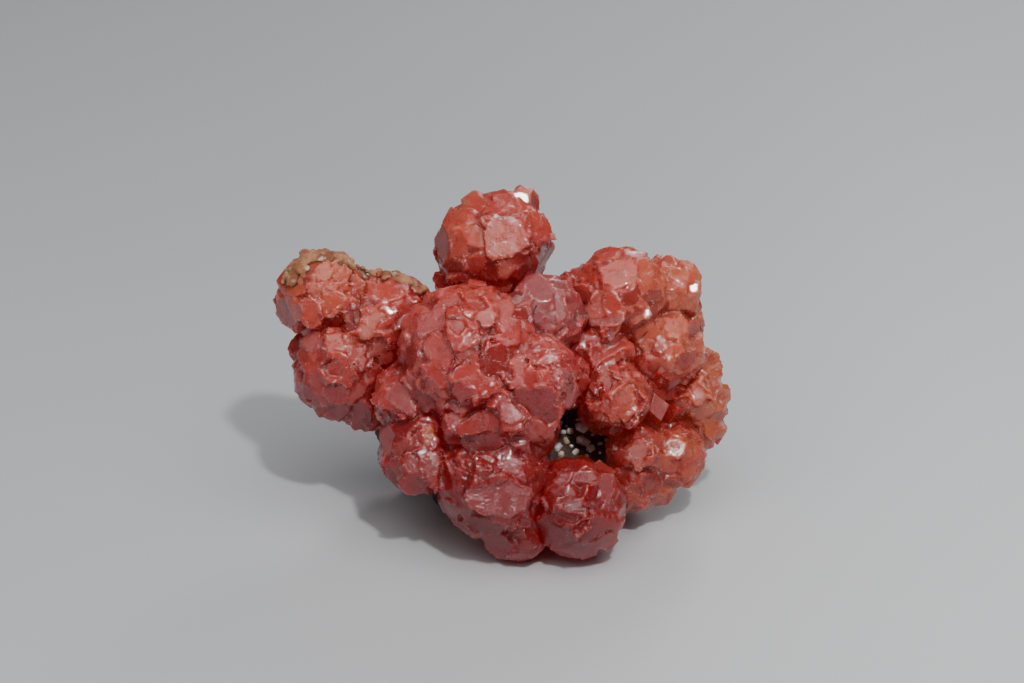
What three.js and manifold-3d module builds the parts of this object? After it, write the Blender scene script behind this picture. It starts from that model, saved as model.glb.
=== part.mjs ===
// Rhodochrosite on matrix: rounded balls of intergrown, flat-faced rhombs on a lump of dark rock.
// Millimetres, +Z up. The origin is the middle of the flat face that the rock rests on.
import * as THREE from "three";
import { ConvexGeometry } from "three/addons/geometries/ConvexGeometry.js";
import { mergeVertices } from "three/addons/utils/BufferGeometryUtils.js";
import Module from "manifold-3d";

const wasm = await Module();
wasm.setup();

// The crystals are laid out on a plane that leans back. In it, a crystal's place is
// millimetres across, millimetres up from the lowest crystal, and millimetres out of the plane.
const FACE_LEAN = 25; // degrees from upright
const FOOT_BACK = 14.3; // from the lowest crystal back to the middle of the resting face
const SEAM = 0.3; // between pieces that meet
const LIFT = 0.45; // of the crystals, so that the lowest ones stay clear of the ground
const CORNER_ANGLE = 102; // degrees between the edges at a rhomb's blunt corner
const ROUND_SHARE = 1.06; // a ball before its growth faces are cut, against its radius
const STANDING_SHARE = 0.5; // of the unlisted crystals stand out, and the others are flat faces
const SEED = 11;

const rad = THREE.MathUtils.degToRad;
const faceFrame = new THREE.Matrix4()
  .makeRotationX(rad(90 - FACE_LEAN))
  .setPosition(0, -FOOT_BACK, LIFT);

let seed = SEED;
function random(low = 0, high = 1) {
  seed = (seed + 0x6d2b79f5) | 0;
  let t = Math.imul(seed ^ (seed >>> 15), 1 | seed);
  t = (t + Math.imul(t ^ (t >>> 7), 61 | t)) ^ t;
  return low + ((high - low) * ((t ^ (t >>> 14)) >>> 0)) / 4294967296;
}

// A flat growth face of the ball itself. lean is the degrees that it leans right and up, and
// rise is how far it stands off the ball.
const flat = (across, up, lean, rise = -0.15) => ({ kind: "flat", across, up, lean, rise });
// A crystal that stands out of the ball with a flat face outward. wide and long are the face's
// edges, and turn is its turn in its own plane.
const face = (across, up, wide, long, turn, lean, rise = 0.5) => ({
  kind: "face", across, up, edges: [wide, long, Math.min(wide, long)], turn, lean, rise,
});
// A crystal with its blunt corner outward, and one with an edge outward.
const corner = (across, up, edge, turn, lean, rise = 0.5) => ({
  kind: "corner", across, up, edges: [edge, edge, edge], turn, lean, rise,
});
const ridge = (across, up, wide, long, turn, lean, rise = 0.3) => ({
  kind: "ridge", across, up, edges: [long, wide, wide], turn, lean, rise,
});
const ball = (across, up, out, radius, crystals = [], fill = 7) => ({
  centre: new THREE.Vector3(across, up, out), radius, crystals, fill,
});

const TOP_BALL = [
  ball(-0.7, 31.5, -6, 5.65, [
    face(0.9, 32.7, 4.4, 4.2, 55, [5, 8], 0.5),
    flat(-3.6, 33.9, [-28, 26]),
    flat(-4.6, 31.2, [-36, -4]),
    flat(-1.6, 30.0, [-8, -16], 0),
    face(0.7, 28.5, 2.0, 2.4, 30, [6, -24], 0.5),
    flat(-3.5, 28.3, [-18, -34]),
    flat(3.2, 30.6, [44, -14]),
    face(3.6, 33.6, 3.2, 3.4, 60, [34, 20], 0.5),
    flat(-3.0, 36.0, [-18, 52]),
    flat(0.0, 36.0, [2, 44]),
    flat(5.0, 29.6, [62, -18]),
  ]),
  ball(2.2, 36.1, -7, 1.8, [flat(2.1, 36.3, [14, 34])], 7),
  ball(-5.4, 27.8, -7.5, 1.3, [ridge(-5.6, 27.9, 1.5, 2.2, -55, [-20, -5], 0.3)], 5),
];

const LEFT_GROUP = [
  ball(-18.3, 26.8, -6, 4.4, [
    flat(-17.6, 28.9, [2, 36], 0),
    face(-16.2, 26.6, 3.6, 3.4, 35, [12, 6], 0.6),
    face(-18.5, 25.2, 2.8, 3.0, 75, [-6, -8], 0.7),
    flat(-20.2, 27.2, [-32, 14]),
    flat(-21.4, 25.2, [-58, -8]),
    flat(-19.4, 23.8, [-14, -46]),
  ]),
  ball(-11.4, 24.4, -5.2, 4.5, [
    face(-12.7, 24.0, 4.6, 2.8, 32, [-10, 14], 0.6),
    face(-11.5, 20.9, 2.5, 3.2, -70, [-4, 4], 1.1),
    face(-10.5, 22.5, 2.8, 2.4, -20, [6, 14], 0.8),
    flat(-10.6, 27.4, [4, 42]),
    ridge(-8.3, 27.0, 2.2, 3.2, 25, [30, 34], 0.2),
  ]),
  ball(-8.8, 24.9, -7, 2.7, [flat(-7.2, 25.8, [50, 6])], 7),
  ball(-16.0, 19.1, -5.8, 5.0, [
    corner(-18.7, 21.9, 2.9, 95, [-16, 26], 0.7),
    face(-16.2, 21.6, 2.8, 2.6, 15, [4, 34], 0.7),
    face(-14.3, 21.0, 2.6, 3.6, -65, [14, 10], 0.6),
    flat(-18.1, 19.6, [-18, 8]),
    face(-16.0, 18.9, 3.0, 2.8, 70, [0, -4], 0.5),
    flat(-18.2, 17.4, [-24, -14]),
    flat(-14.6, 16.9, [10, -12], 0.1),
    flat(-20.0, 20.2, [-56, 2]),
    flat(-17.0, 15.8, [-6, -46], -0.2),
    corner(-12.8, 18.8, 2.8, 0, [32, -6], 0.2),
  ]),
  ball(-20.2, 21.3, -8.5, 1.5, [flat(-20.6, 21.5, [-30, 10])], 5),
  ball(-13.2, 15.8, -6, 2.9, [
    flat(-13.9, 14.9, [-8, -18], 0),
    flat(-12.0, 15.2, [28, -10], 0),
  ], 8),
];

const CENTRE_GROUP = [
  ball(-3.0, 20.7, 0.2, 7.1, [
    face(-3.4, 22.6, 3.4, 3.4, 45, [-2, 16], 0.6),
    corner(-1.1, 24.0, 2.4, 30, [10, 30], 0.4),
    flat(0.9, 23.0, [12, 16], 0),
    flat(-6.2, 21.8, [-20, 10], 0),
    flat(-5.2, 18.7, [-10, -2], 0),
    face(-2.4, 18.4, 3.0, 3.8, 88, [8, 0], 0.5),
    flat(-8.4, 23.0, [-42, 24]),
    flat(-6.0, 25.8, [-18, 50]),
    flat(-2.0, 26.4, [4, 56]),
    flat(-9.4, 19.6, [-56, 4]),
    flat(1.6, 20.4, [30, 0], -0.2),
  ], 10),
  ball(4.2, 24.4, -2, 4.2, [
    flat(4.0, 26.4, [10, 36]),
    flat(6.2, 24.2, [40, 6]),
    face(2.4, 25.0, 2.8, 2.8, 20, [-10, 16], 0.5),
    flat(3.1, 22.9, [6, -6], 0.1),
  ], 8),
  ball(3.3, 18.4, 1.4, 4.5, [
    face(1.9, 18.9, 2.6, 3.4, 88, [-8, 4], 1.0),
    face(4.3, 18.2, 3.2, 2.8, 20, [8, 2], 0.8),
    ridge(4.4, 20.5, 2.0, 4.4, 14, [2, 36], 0.5),
    face(6.2, 18.6, 1.8, 2.2, 70, [22, 16], 0.8),
  ], 8),
  ball(1.0, 14.4, 0.8, 5.0, [
    face(3.6, 15.6, 5.0, 4.2, 15, [14, -14], 0.9),
    face(1.0, 15.0, 4.0, 2.8, -10, [0, 8], 1.0),
    face(-2.6, 14.2, 5.2, 2.2, 36, [-12, 24], 1.0),
    flat(1.8, 12.4, [6, -20]),
  ], 8),
  ball(-8.6, 16.2, -2, 4.0, [
    face(-10.1, 16.0, 2.6, 4.6, -58, [-26, 16], 0.8),
    face(-7.2, 16.2, 4.2, 4.0, 50, [16, -8], 0.8),
    ridge(-5.6, 17.2, 1.6, 4.2, -38, [6, 10], 0.6),
  ], 7),
  ball(-7.6, 11.4, -1, 4.4, [
    flat(-9.9, 13.2, [-26, 20]),
    flat(-9.9, 11.0, [-30, -8]),
    face(-8.7, 9.6, 2.8, 3.2, 75, [-16, 8], 0.8),
    face(-6.9, 9.4, 2.0, 4.8, -86, [12, 4], 1.0),
    flat(-8.4, 7.8, [-16, -26], 0),
    flat(-6.7, 6.6, [-6, -42]),
    face(-4.9, 14.2, 2.0, 2.4, 60, [4, 26], 1.2),
  ]),
  ball(-0.6, 8.0, 0.6, 5.6, [
    flat(-0.4, 11.8, [0, 22], 0),
    flat(-2.2, 9.7, [-12, 6], 0.1),
    face(0.0, 7.0, 6.0, 4.4, 10, [2, -10], 0.6),
    flat(3.1, 8.4, [32, 4], 0),
    flat(-4.4, 7.2, [-38, -2]),
    flat(-3.0, 4.3, [-14, -38]),
  ], 10),
  ball(1.6, 3.3, 0.3, 3.0, [
    flat(1.8, 2.2, [10, -26], 0),
    flat(-0.7, 2.4, [-20, -28]),
  ], 8),
  ball(6.6, 18.2, -2.2, 3.0, [
    flat(7.2, 17.4, [30, -4]),
    flat(6.5, 14.6, [10, -36], -0.2),
  ], 7),
];

const LOWER_BALL = [
  ball(7.7, 5.5, 0.2, 4.9, [
    flat(8.3, 8.7, [4, 34]),
    flat(10.5, 7.6, [36, 14]),
    flat(6.6, 7.2, [-14, 14], 0.1),
    face(7.2, 5.0, 4.0, 2.2, -15, [-4, 6], 0.5),
    flat(5.5, 3.1, [-24, -24], -0.2),
    flat(9.2, 2.5, [12, -34], -0.2),
    flat(11.3, 4.1, [46, -10]),
  ], 12),
];

const UPPER_RIGHT_GROUP = [
  ball(12.2, 26.7, -5, 4.7, [
    flat(12.8, 28.3, [4, 18], 0),
    face(10.3, 24.6, 4.6, 3.4, 8, [-8, 8], 0.9),
    corner(11.6, 25.9, 2.6, 50, [0, 4], 0.5),
    flat(13.8, 25.5, [18, -12], 0.1),
    flat(15.0, 27.2, [44, 0]),
    flat(11.0, 30.4, [-10, 56]),
    flat(14.0, 30.1, [22, 48]),
    flat(12.4, 23.2, [0, -48], -0.2),
  ]),
  ball(8.4, 26.0, -5.6, 3.2, [
    face(8.0, 27.0, 2.6, 2.4, 15, [-6, 18], 0.5),
    flat(8.5, 28.6, [2, 42], -0.2),
    flat(7.1, 25.0, [-24, -18]),
  ], 7),
  ball(17.5, 27.4, -7, 3.2, [
    flat(18.9, 27.6, [24, 20], 0.1),
    flat(17.2, 29.0, [0, 42], -0.2),
    flat(18.3, 25.9, [22, -22]),
  ], 9),
  ball(16.6, 21.2, -6.2, 4.1, [
    flat(14.5, 22.8, [-20, 12], 0),
    flat(17.2, 23.6, [8, 26]),
    flat(17.7, 21.3, [16, 0]),
    flat(16.2, 19.0, [0, -24], 0),
    flat(19.6, 22.8, [56, 6]),
    flat(19.0, 20.2, [48, -14]),
  ]),
  ball(18.8, 24.2, -8.4, 2.3, [flat(20.2, 24.4, [50, 8])], 6),
  ball(9.6, 20.4, -4.4, 3.9, [
    ridge(8.9, 19.8, 1.5, 4.4, -58, [-14, 4], 0.7),
    ridge(11.8, 20.9, 1.5, 3.8, 28, [12, 14], 0.6),
  ], 6),
  ball(13.9, 18.8, -5.4, 2.5, [flat(13.9, 19.3, [6, 20], 0.1)], 5),
  ball(11.6, 16.3, -2.8, 3.7, [
    face(12.4, 16.2, 4.2, 3.4, 12, [8, 2], 0.6),
    face(10.4, 15.1, 2.2, 2.6, 70, [-16, -10], 0.6),
    flat(13.9, 17.7, [34, 14], -0.2),
    flat(12.4, 13.9, [4, -50], -0.2),
  ], 8),
];

const RIGHT_GROUP = [
  ball(20.0, 16.4, -9, 3.4, [
    face(19.9, 17.2, 3.0, 2.8, 50, [-4, 16], 0.5),
    face(18.0, 16.0, 2.5, 3.0, -75, [-16, 2], 0.9),
    flat(21.5, 15.0, [34, -18], -0.2),
    ridge(17.3, 17.6, 1.6, 2.8, 8, [-20, 34], 0.4),
  ], 9),
  ball(20.8, 19.2, -10.6, 2.2, [face(20.8, 18.4, 1.5, 1.7, 30, [12, 22], 0.6)], 7),
  ball(22.3, 16.6, -11, 1.2, [], 6),
  ball(20.6, 13.3, -9.4, 2.6, [
    flat(21.0, 13.8, [16, 4]),
    flat(21.4, 12.2, [30, -32], -0.2),
  ], 8),
  ball(17.4, 10.4, -6.4, 3.5, [
    flat(17.4, 11.6, [6, 26], 0.1),
    flat(16.9, 9.1, [-4, -18]),
    flat(19.1, 9.8, [40, -6], -0.2),
  ], 9),
  ball(14.1, 11.0, -5, 3.1, [
    face(13.8, 10.5, 2.8, 3.4, -70, [-12, 6], 0.7),
    flat(14.6, 12.6, [4, 42], 0),
  ], 7),
  ball(13.2, 7.7, -4.8, 2.9, [flat(13.4, 6.6, [6, -22])], 6),
  ball(16.0, 7.6, -6.2, 2.3, [flat(15.7, 6.4, [6, -12], 0)], 8),
];

// The rock, in the part's own frame: each lump's centre and half sizes.
const ROCK_LUMPS = [
  { at: [3.0, -1.7, 4.8], half: [9.5, 8.4, 8.6] },
  { at: [-2.4, 2.1, 4.6], half: [8.2, 6.8, 8.0] },
  { at: [2.0, 1.7, 16.0], half: [9.5, 6.5, 8.5] },
  { at: [-4.5, 3.2, 15.5], half: [6.0, 4.5, 5.0] },
  { at: [-14.0, 3.4, 17.4], half: [7.6, 5.0, 6.2] },
  { at: [-8.6, 2.7, 7.4], half: [5.0, 5.2, 6.4] },
  { at: [11.2, 1.5, 9.8], half: [8.0, 6.0, 9.2] },
  { at: [-1.0, 5.2, 23.6], half: [4.4, 4.0, 4.6] },
];
const ROCK_FACETS = 17; // corners of each lump, which make its broken faces

// The iron-stained crust on top of the left crystals.
const OCHRE_LUMPS = [
  { at: [-18.0, 30.0, -8.8], half: [1.9, 1.7, 1.8] },
  { at: [-15.2, 28.8, -8.9], half: [2.0, 1.5, 1.8] },
  { at: [-12.4, 28.2, -8.8], half: [2.2, 1.5, 1.8] },
];
const OCHRE_FACETS = 11;

// The three edges that leave a rhomb's blunt corner, which points up.
function rhombEdges(lengths) {
  const steep = Math.asin(Math.sqrt((1 - Math.cos(rad(CORNER_ANGLE))) / 1.5));
  return lengths.map((length, i) =>
    new THREE.Vector3(
      Math.sin(steep) * Math.cos(rad(120 * i)),
      Math.sin(steep) * Math.sin(rad(120 * i)),
      -Math.cos(steep),
    ).multiplyScalar(length),
  );
}

// The share of its edges that is cut off each of a rhomb's corners, as a small flat face.
const cornerCuts = (chance) =>
  Array.from({ length: 8 }, () => (random() < chance ? random(0.1, 0.28) : 0));

function rhombCorners(edges, cuts) {
  return cuts.flatMap((cut, i) => {
    const signs = [i & 1, (i >> 1) & 1, (i >> 2) & 1];
    const at = new THREE.Vector3();
    signs.forEach((s, k) => at.addScaledVector(edges[k], s));
    if (!cut) return [at];
    return signs.map((s, k) => at.clone().addScaledVector(edges[k], s ? -cut : cut));
  });
}

// A crystal's solid: its outer face, corner or edge is at place, and it points along outward.
function crystalSolid({ kind, edges: lengths, turn, cuts }, place, outward, grow = 0) {
  const edges = rhombEdges(lengths.map((length) => length + 2.4 * grow));
  const outs = {
    corner: new THREE.Vector3(0, 0, 1),
    face: edges[0].clone().cross(edges[1]).normalize(),
    ridge: edges[0].clone().cross(edges[1]).normalize()
      .add(edges[2].clone().cross(edges[0]).normalize()).normalize(),
  };
  const across = { corner: edges[0], face: edges[0].clone().add(edges[1]), ridge: edges[0] }[kind];
  const middle = {
    corner: new THREE.Vector3(),
    face: edges[0].clone().add(edges[1]).multiplyScalar(0.5),
    ridge: edges[0].clone().multiplyScalar(0.5),
  }[kind].addScaledVector(outs[kind], -grow);
  const out = outs[kind];
  const x = across.clone().addScaledVector(out, -across.dot(out)).normalize();
  const upright = new THREE.Matrix4().makeBasis(x, out.clone().cross(x), out).invert();
  const spin = new THREE.Matrix4().makeRotationZ(rad(turn));
  const lean = new THREE.Matrix4().makeRotationFromQuaternion(
    new THREE.Quaternion().setFromUnitVectors(new THREE.Vector3(0, 0, 1), outward),
  );
  const move = lean.multiply(spin).multiply(upright);
  const points = rhombCorners(edges, grow ? cuts.map(() => 0) : cuts).map((p) =>
    p.sub(middle).applyMatrix4(move).add(place).applyMatrix4(faceFrame),
  );
  return solidOf(new ConvexGeometry(points));
}

function solidOf(geometry) {
  geometry.deleteAttribute("normal");
  geometry.deleteAttribute("uv");
  const merged = mergeVertices(geometry, 1e-4);
  return new wasm.Manifold(
    new wasm.Mesh({
      numProp: 3,
      vertProperties: merged.attributes.position.array,
      triVerts: new Uint32Array(merged.index.array),
    }),
  );
}

function geometryOf(solid) {
  const { numProp, vertProperties, triVerts } = solid.getMesh();
  const positions = new Float32Array((vertProperties.length / numProp) * 3);
  for (let i = 0; i < positions.length / 3; i++)
    positions.set(vertProperties.subarray(i * numProp, i * numProp + 3), i * 3);
  const geometry = new THREE.BufferGeometry();
  geometry.setAttribute("position", new THREE.BufferAttribute(positions, 3));
  geometry.setIndex(new THREE.BufferAttribute(triVerts, 1));
  geometry.computeVertexNormals();
  return geometry;
}

const join = (solids) => solids.reduce((whole, solid) => whole.add(solid));
const largest = (solid) =>
  solid.decompose().reduce((best, body) => (body.volume() > best.volume() ? body : best));

// The direction that leans by these degrees right and up from straight out.
const leaning = (right, up) =>
  new THREE.Vector3(Math.tan(rad(right)), Math.tan(rad(up)), 1).normalize();

// Whether a place on one ball lies inside another ball or the rock.
function buried(place, centre) {
  const inBall = Object.values(GROUPS).flat().some(
    (other) => other.centre !== centre && other.centre.distanceTo(place) < 0.85 * other.radius,
  );
  const { x, y, z } = place.clone().applyMatrix4(faceFrame);
  const inRock = ROCK_LUMPS.some(
    ({ at, half }) =>
      Math.hypot((x - at[0]) / half[0], (y - at[1]) / half[1], (z - at[2]) / half[2]) < 0.95,
  );
  return inBall || inRock;
}

// The faces and crystals of a ball where no listed one lies, spread by the golden angle.
function coverCrystals({ centre, radius, crystals, fill }) {
  const cover = [];
  const taken = crystals.map((c) => leaning(...c.lean));
  for (let i = 0; i < fill; i++) {
    const out = 0.35 - (1.35 * (i + 0.5)) / fill;
    const around = i * Math.PI * (3 - Math.sqrt(5)) + random(0, 0.5);
    const girth = Math.sqrt(1 - out * out);
    const towards = new THREE.Vector3(girth * Math.cos(around), girth * Math.sin(around), out);
    const standsOut = random() < STANDING_SHARE && out < -0.4;
    const edge = radius * random(0.55, 0.8);
    const crystal = {
      kind: standsOut ? "face" : "flat", edges: [edge, edge * random(0.8, 1.1), edge],
      turn: random(0, 180), cuts: cornerCuts(0),
    };
    const lean = new THREE.Vector3(random(-0.2, 0.2), random(-0.2, 0.2), random(-0.2, 0.2));
    const place = centre.clone().addScaledVector(towards, radius * (standsOut ? 1.06 : 0.97));
    if (taken.some((t) => t.dot(towards) > 0.8) || buried(place, centre)) continue;
    cover.push({ crystal, place, outward: towards.add(lean).normalize() });
  }
  return cover;
}

// A listed crystal's place: on the ball, where it is seen, raised by rise.
function placed(crystal, { centre, radius }) {
  const outward = leaning(...crystal.lean);
  const [dx, dy] = [crystal.across - centre.x, crystal.up - centre.y];
  const reach = Math.min(1, Math.hypot(dx, dy) / radius);
  const depth = radius * Math.sqrt(1 - reach * reach);
  const place = new THREE.Vector3(crystal.across, crystal.up, centre.z + depth);
  return {
    crystal: { ...crystal, cuts: cornerCuts(0.2) },
    place: place.addScaledVector(outward, crystal.rise),
    outward,
  };
}

function crystalsOf(oneBall) {
  return [...oneBall.crystals.map((c) => placed(c, oneBall)), ...coverCrystals(oneBall)];
}

// The ball itself, with its growth faces cut flat.
function ballSolid({ centre, radius, made }, grow = 0) {
  const round = new THREE.IcosahedronGeometry(radius * ROUND_SHARE + grow, radius < 2.8 ? 0 : 1);
  round.rotateX(centre.x).rotateY(centre.y);
  round.translate(centre.x, centre.y, centre.z).applyMatrix4(faceFrame);
  return made
    .filter(({ crystal }) => crystal.kind === "flat")
    .reduce((solid, { place, outward }) => {
      const inward = outward.clone().transformDirection(faceFrame).negate();
      const offset = inward.dot(place.clone().applyMatrix4(faceFrame)) - grow;
      return solid.trimByPlane(inward.toArray(), offset);
    }, solidOf(round));
}

// The crystals that stand out of a ball.
const standingSolids = ({ made }, grow = 0) =>
  made
    .filter(({ crystal }) => crystal.kind !== "flat")
    .map(({ crystal, place, outward }) => crystalSolid(crystal, place, outward, grow));

// Takes off what lies past the plane where two balls of different groups meet.
function trimmed(solid, oneBall, others) {
  for (const other of others) {
    const from = oneBall.centre.clone().applyMatrix4(faceFrame);
    const towards = other.centre.clone().applyMatrix4(faceFrame).sub(from);
    const gap = towards.length();
    if (gap > 1.4 * (oneBall.radius + other.radius)) continue;
    const meet = (gap * gap + oneBall.radius ** 2 - other.radius ** 2) / (2 * gap) - SEAM / 2;
    const normal = towards.normalize();
    solid = solid.trimByPlane(normal.clone().negate().toArray(), -(normal.dot(from) + meet));
  }
  return solid;
}

// A broken lump of rock: the hull of corners spread over an uneven ellipsoid.
function lumpSolid({ at, half, turn = 0 }, corners, frame = new THREE.Matrix4()) {
  const points = [];
  for (let i = 0; i < corners; i++) {
    const z = 1 - (2 * (i + 0.5)) / corners;
    const around = i * Math.PI * (3 - Math.sqrt(5)) + random(0, 0.9);
    const flat = Math.sqrt(1 - z * z);
    const swell = random(0.8, 1.08);
    points.push(
      new THREE.Vector3(flat * Math.cos(around) * half[0], flat * Math.sin(around) * half[1], z * half[2])
        .multiplyScalar(swell)
        .applyAxisAngle(new THREE.Vector3(0, 0, 1), rad(turn))
        .add(new THREE.Vector3(...at))
        .applyMatrix4(frame),
    );
  }
  return solidOf(new ConvexGeometry(points));
}

const GROUPS = {
  top_ball: TOP_BALL,
  left_crystals: LEFT_GROUP,
  centre_crystals: CENTRE_GROUP,
  lower_ball: LOWER_BALL,
  upper_right_crystals: UPPER_RIGHT_GROUP,
  right_crystals: RIGHT_GROUP,
};
const SHADES = {
  top_ball: 0xb5382c,
  left_crystals: 0xb04434,
  centre_crystals: 0xa8383a,
  lower_ball: 0xa03030,
  upper_right_crystals: 0xb44a3c,
  right_crystals: 0xb85a38,
};

function groupSolid(name) {
  const others = Object.entries(GROUPS).filter(([n]) => n !== name).flatMap(([, balls]) => balls);
  const whole = join(
    GROUPS[name].map((oneBall) =>
      trimmed(join([ballSolid(oneBall), ...standingSolids(oneBall)]), oneBall, others),
    ),
  );
  return largest(whole);
}

// Room for a group's balls and crystals, with the seam around them, to cut out of the rock.
const socketSolid = (name) =>
  join(
    GROUPS[name].flatMap((oneBall) => [
      ballSolid(oneBall, SEAM + 0.1),
      ...standingSolids(oneBall, SEAM),
    ]),
  );

Object.values(GROUPS).flat().forEach((oneBall) => (oneBall.made = crystalsOf(oneBall)));

const specimen = new THREE.Group();
function addPiece(name, solid, color, roughness = 0.25) {
  const piece = new THREE.Mesh(
    geometryOf(solid),
    new THREE.MeshStandardMaterial({ color, roughness, metalness: 0, flatShading: true }),
  );
  piece.name = name;
  specimen.add(piece);
}

const groups = Object.keys(GROUPS).map((name) => [name, groupSolid(name)]);
const sockets = join(Object.keys(GROUPS).map(socketSolid));
groups.forEach(([name, solid]) => addPiece(name, solid, SHADES[name]));

const rock = join([
  ...ROCK_LUMPS.map((lump) => lumpSolid(lump, ROCK_FACETS)),
  ...OCHRE_LUMPS.map((lump) => lumpSolid(lump, OCHRE_FACETS, faceFrame)),
]).trimByPlane([0, 0, 1], 0);
addPiece("matrix", largest(rock.subtract(sockets)), 0x2e2622, 0.8);

export default specimen;
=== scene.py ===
"""Rhodochrosite on matrix: balls of intergrown red rhombs on dark rock.

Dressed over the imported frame."""

import bisect
import itertools
import math
import random

import bmesh
import bpy
import numpy as np
from bpy.props import FloatProperty, FloatVectorProperty, IntProperty, PointerProperty
from mathutils import Matrix, Vector, noise
from mathutils.bvhtree import BVHTree
from mathutils.kdtree import KDTree


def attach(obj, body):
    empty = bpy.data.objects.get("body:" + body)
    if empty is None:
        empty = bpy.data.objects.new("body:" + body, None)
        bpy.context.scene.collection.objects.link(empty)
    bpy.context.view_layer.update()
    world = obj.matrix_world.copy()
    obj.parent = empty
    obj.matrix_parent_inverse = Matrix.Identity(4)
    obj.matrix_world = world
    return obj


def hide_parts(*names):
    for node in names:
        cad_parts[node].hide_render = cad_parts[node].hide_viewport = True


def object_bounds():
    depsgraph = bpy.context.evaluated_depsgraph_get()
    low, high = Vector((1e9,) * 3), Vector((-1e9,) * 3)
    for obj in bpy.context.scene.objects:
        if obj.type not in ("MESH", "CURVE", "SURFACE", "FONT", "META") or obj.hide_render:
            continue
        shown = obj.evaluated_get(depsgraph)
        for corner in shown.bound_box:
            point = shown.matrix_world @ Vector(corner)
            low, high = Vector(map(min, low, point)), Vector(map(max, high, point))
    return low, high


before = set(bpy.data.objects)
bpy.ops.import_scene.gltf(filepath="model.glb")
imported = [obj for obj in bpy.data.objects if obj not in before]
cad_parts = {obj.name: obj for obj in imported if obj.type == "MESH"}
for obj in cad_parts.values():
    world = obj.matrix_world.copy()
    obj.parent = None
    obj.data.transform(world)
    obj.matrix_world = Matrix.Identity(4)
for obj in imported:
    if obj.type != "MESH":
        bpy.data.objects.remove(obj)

bl_info = {
    "name": "Rhodochrosite on matrix",
    "version": (1, 0, 0),
    "blender": (4, 5, 0),
    "location": "3D View > Sidebar > Specimen",
    "description": "Dresses the packed solids of a crystal specimen with crystals, rock and a stage",
    "category": "Object",
}

CAD_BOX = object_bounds()
MM = 0.001
CLUSTERS = (
    "top_ball",
    "left_crystals",
    "centre_crystals",
    "lower_ball",
    "upper_right_crystals",
    "right_crystals",
)
ROCK = "matrix"
BOX_MARGIN = 0.02  # mm that crystals keep inside the frame's box

# The photograph's view: its middle looks at VIEW_MIDDLE from VIEW_DISTANCE, VIEW_RISE above level.
VIEW_RISE = math.radians(25)
VIEW_DISTANCE = 0.2844
VIEW_MIDDLE = Vector((0.0012, -0.00498, 0.02043))
LENS, SENSOR = 100, 36  # mm
LAMP = (0.07, -0.2, 0.3)
KEY = (0.03, -0.14, 0.37)
FACE_RISE = 0.06  # mm that a face of the photograph's view stands over its ball
FACE_LEANS = {"pale": 4, "dark": -7, "lilac": 7}  # degrees towards mirroring the big light
FACE_SPREAD = 4  # mm that the samples of one face may lie apart
FACE_REACH = 1.3  # mm between the skin and a face that is still cut in it
DEEPEST, HIGHEST = 0.4, 0.6  # mm that the relief reaches under and over the skin
EDGE_ROUNDS = 3  # times that the edges between faces are straightened
SKIN_ROUNDS = 9  # times that a ball's skin is smoothed
CUTS_NEAR, CRYSTALS_NEAR = 7, 6  # faces and crystals that may shape a point
LEAST_FACING = 0.72  # cosine between a point's normal and a face that may cut it
NOWHERE = 9.0  # mm, further than any relief reaches
PICTURE = (1024, 683)

FROSTED_DOME = (4.2, -2.2, 21.7)  # mm, the middle of the dull purple ball
RHOMB_CORNER = 102  # degrees between the edges at a rhomb's blunt corner
UP = Vector((0, 0, 1))
PAINTED_LIGHT_WAY = (0, -0.5, 0.866)  # the way towards the key light: faces turned this way are painted paler as painted light, faces turned from it deeper red as painted shade


def view_axes():
    """Right, up and back towards the camera, for the photograph's view."""
    back = Vector((0, -math.cos(VIEW_RISE), math.sin(VIEW_RISE)))
    right = Vector((1, 0, 0))
    return right, back.cross(right), back


def view_ray(u, v):
    """Where the camera is, and the direction that it sees a pixel of the photograph in."""
    right, up, back = view_axes()
    eye = VIEW_MIDDLE + back * VIEW_DISTANCE
    scale = SENSOR / LENS / PICTURE[0]
    across, rise = (u - PICTURE[0] / 2) * scale, (PICTURE[1] / 2 - v) * scale
    return eye, (right * across + up * rise - back).normalized()


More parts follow.
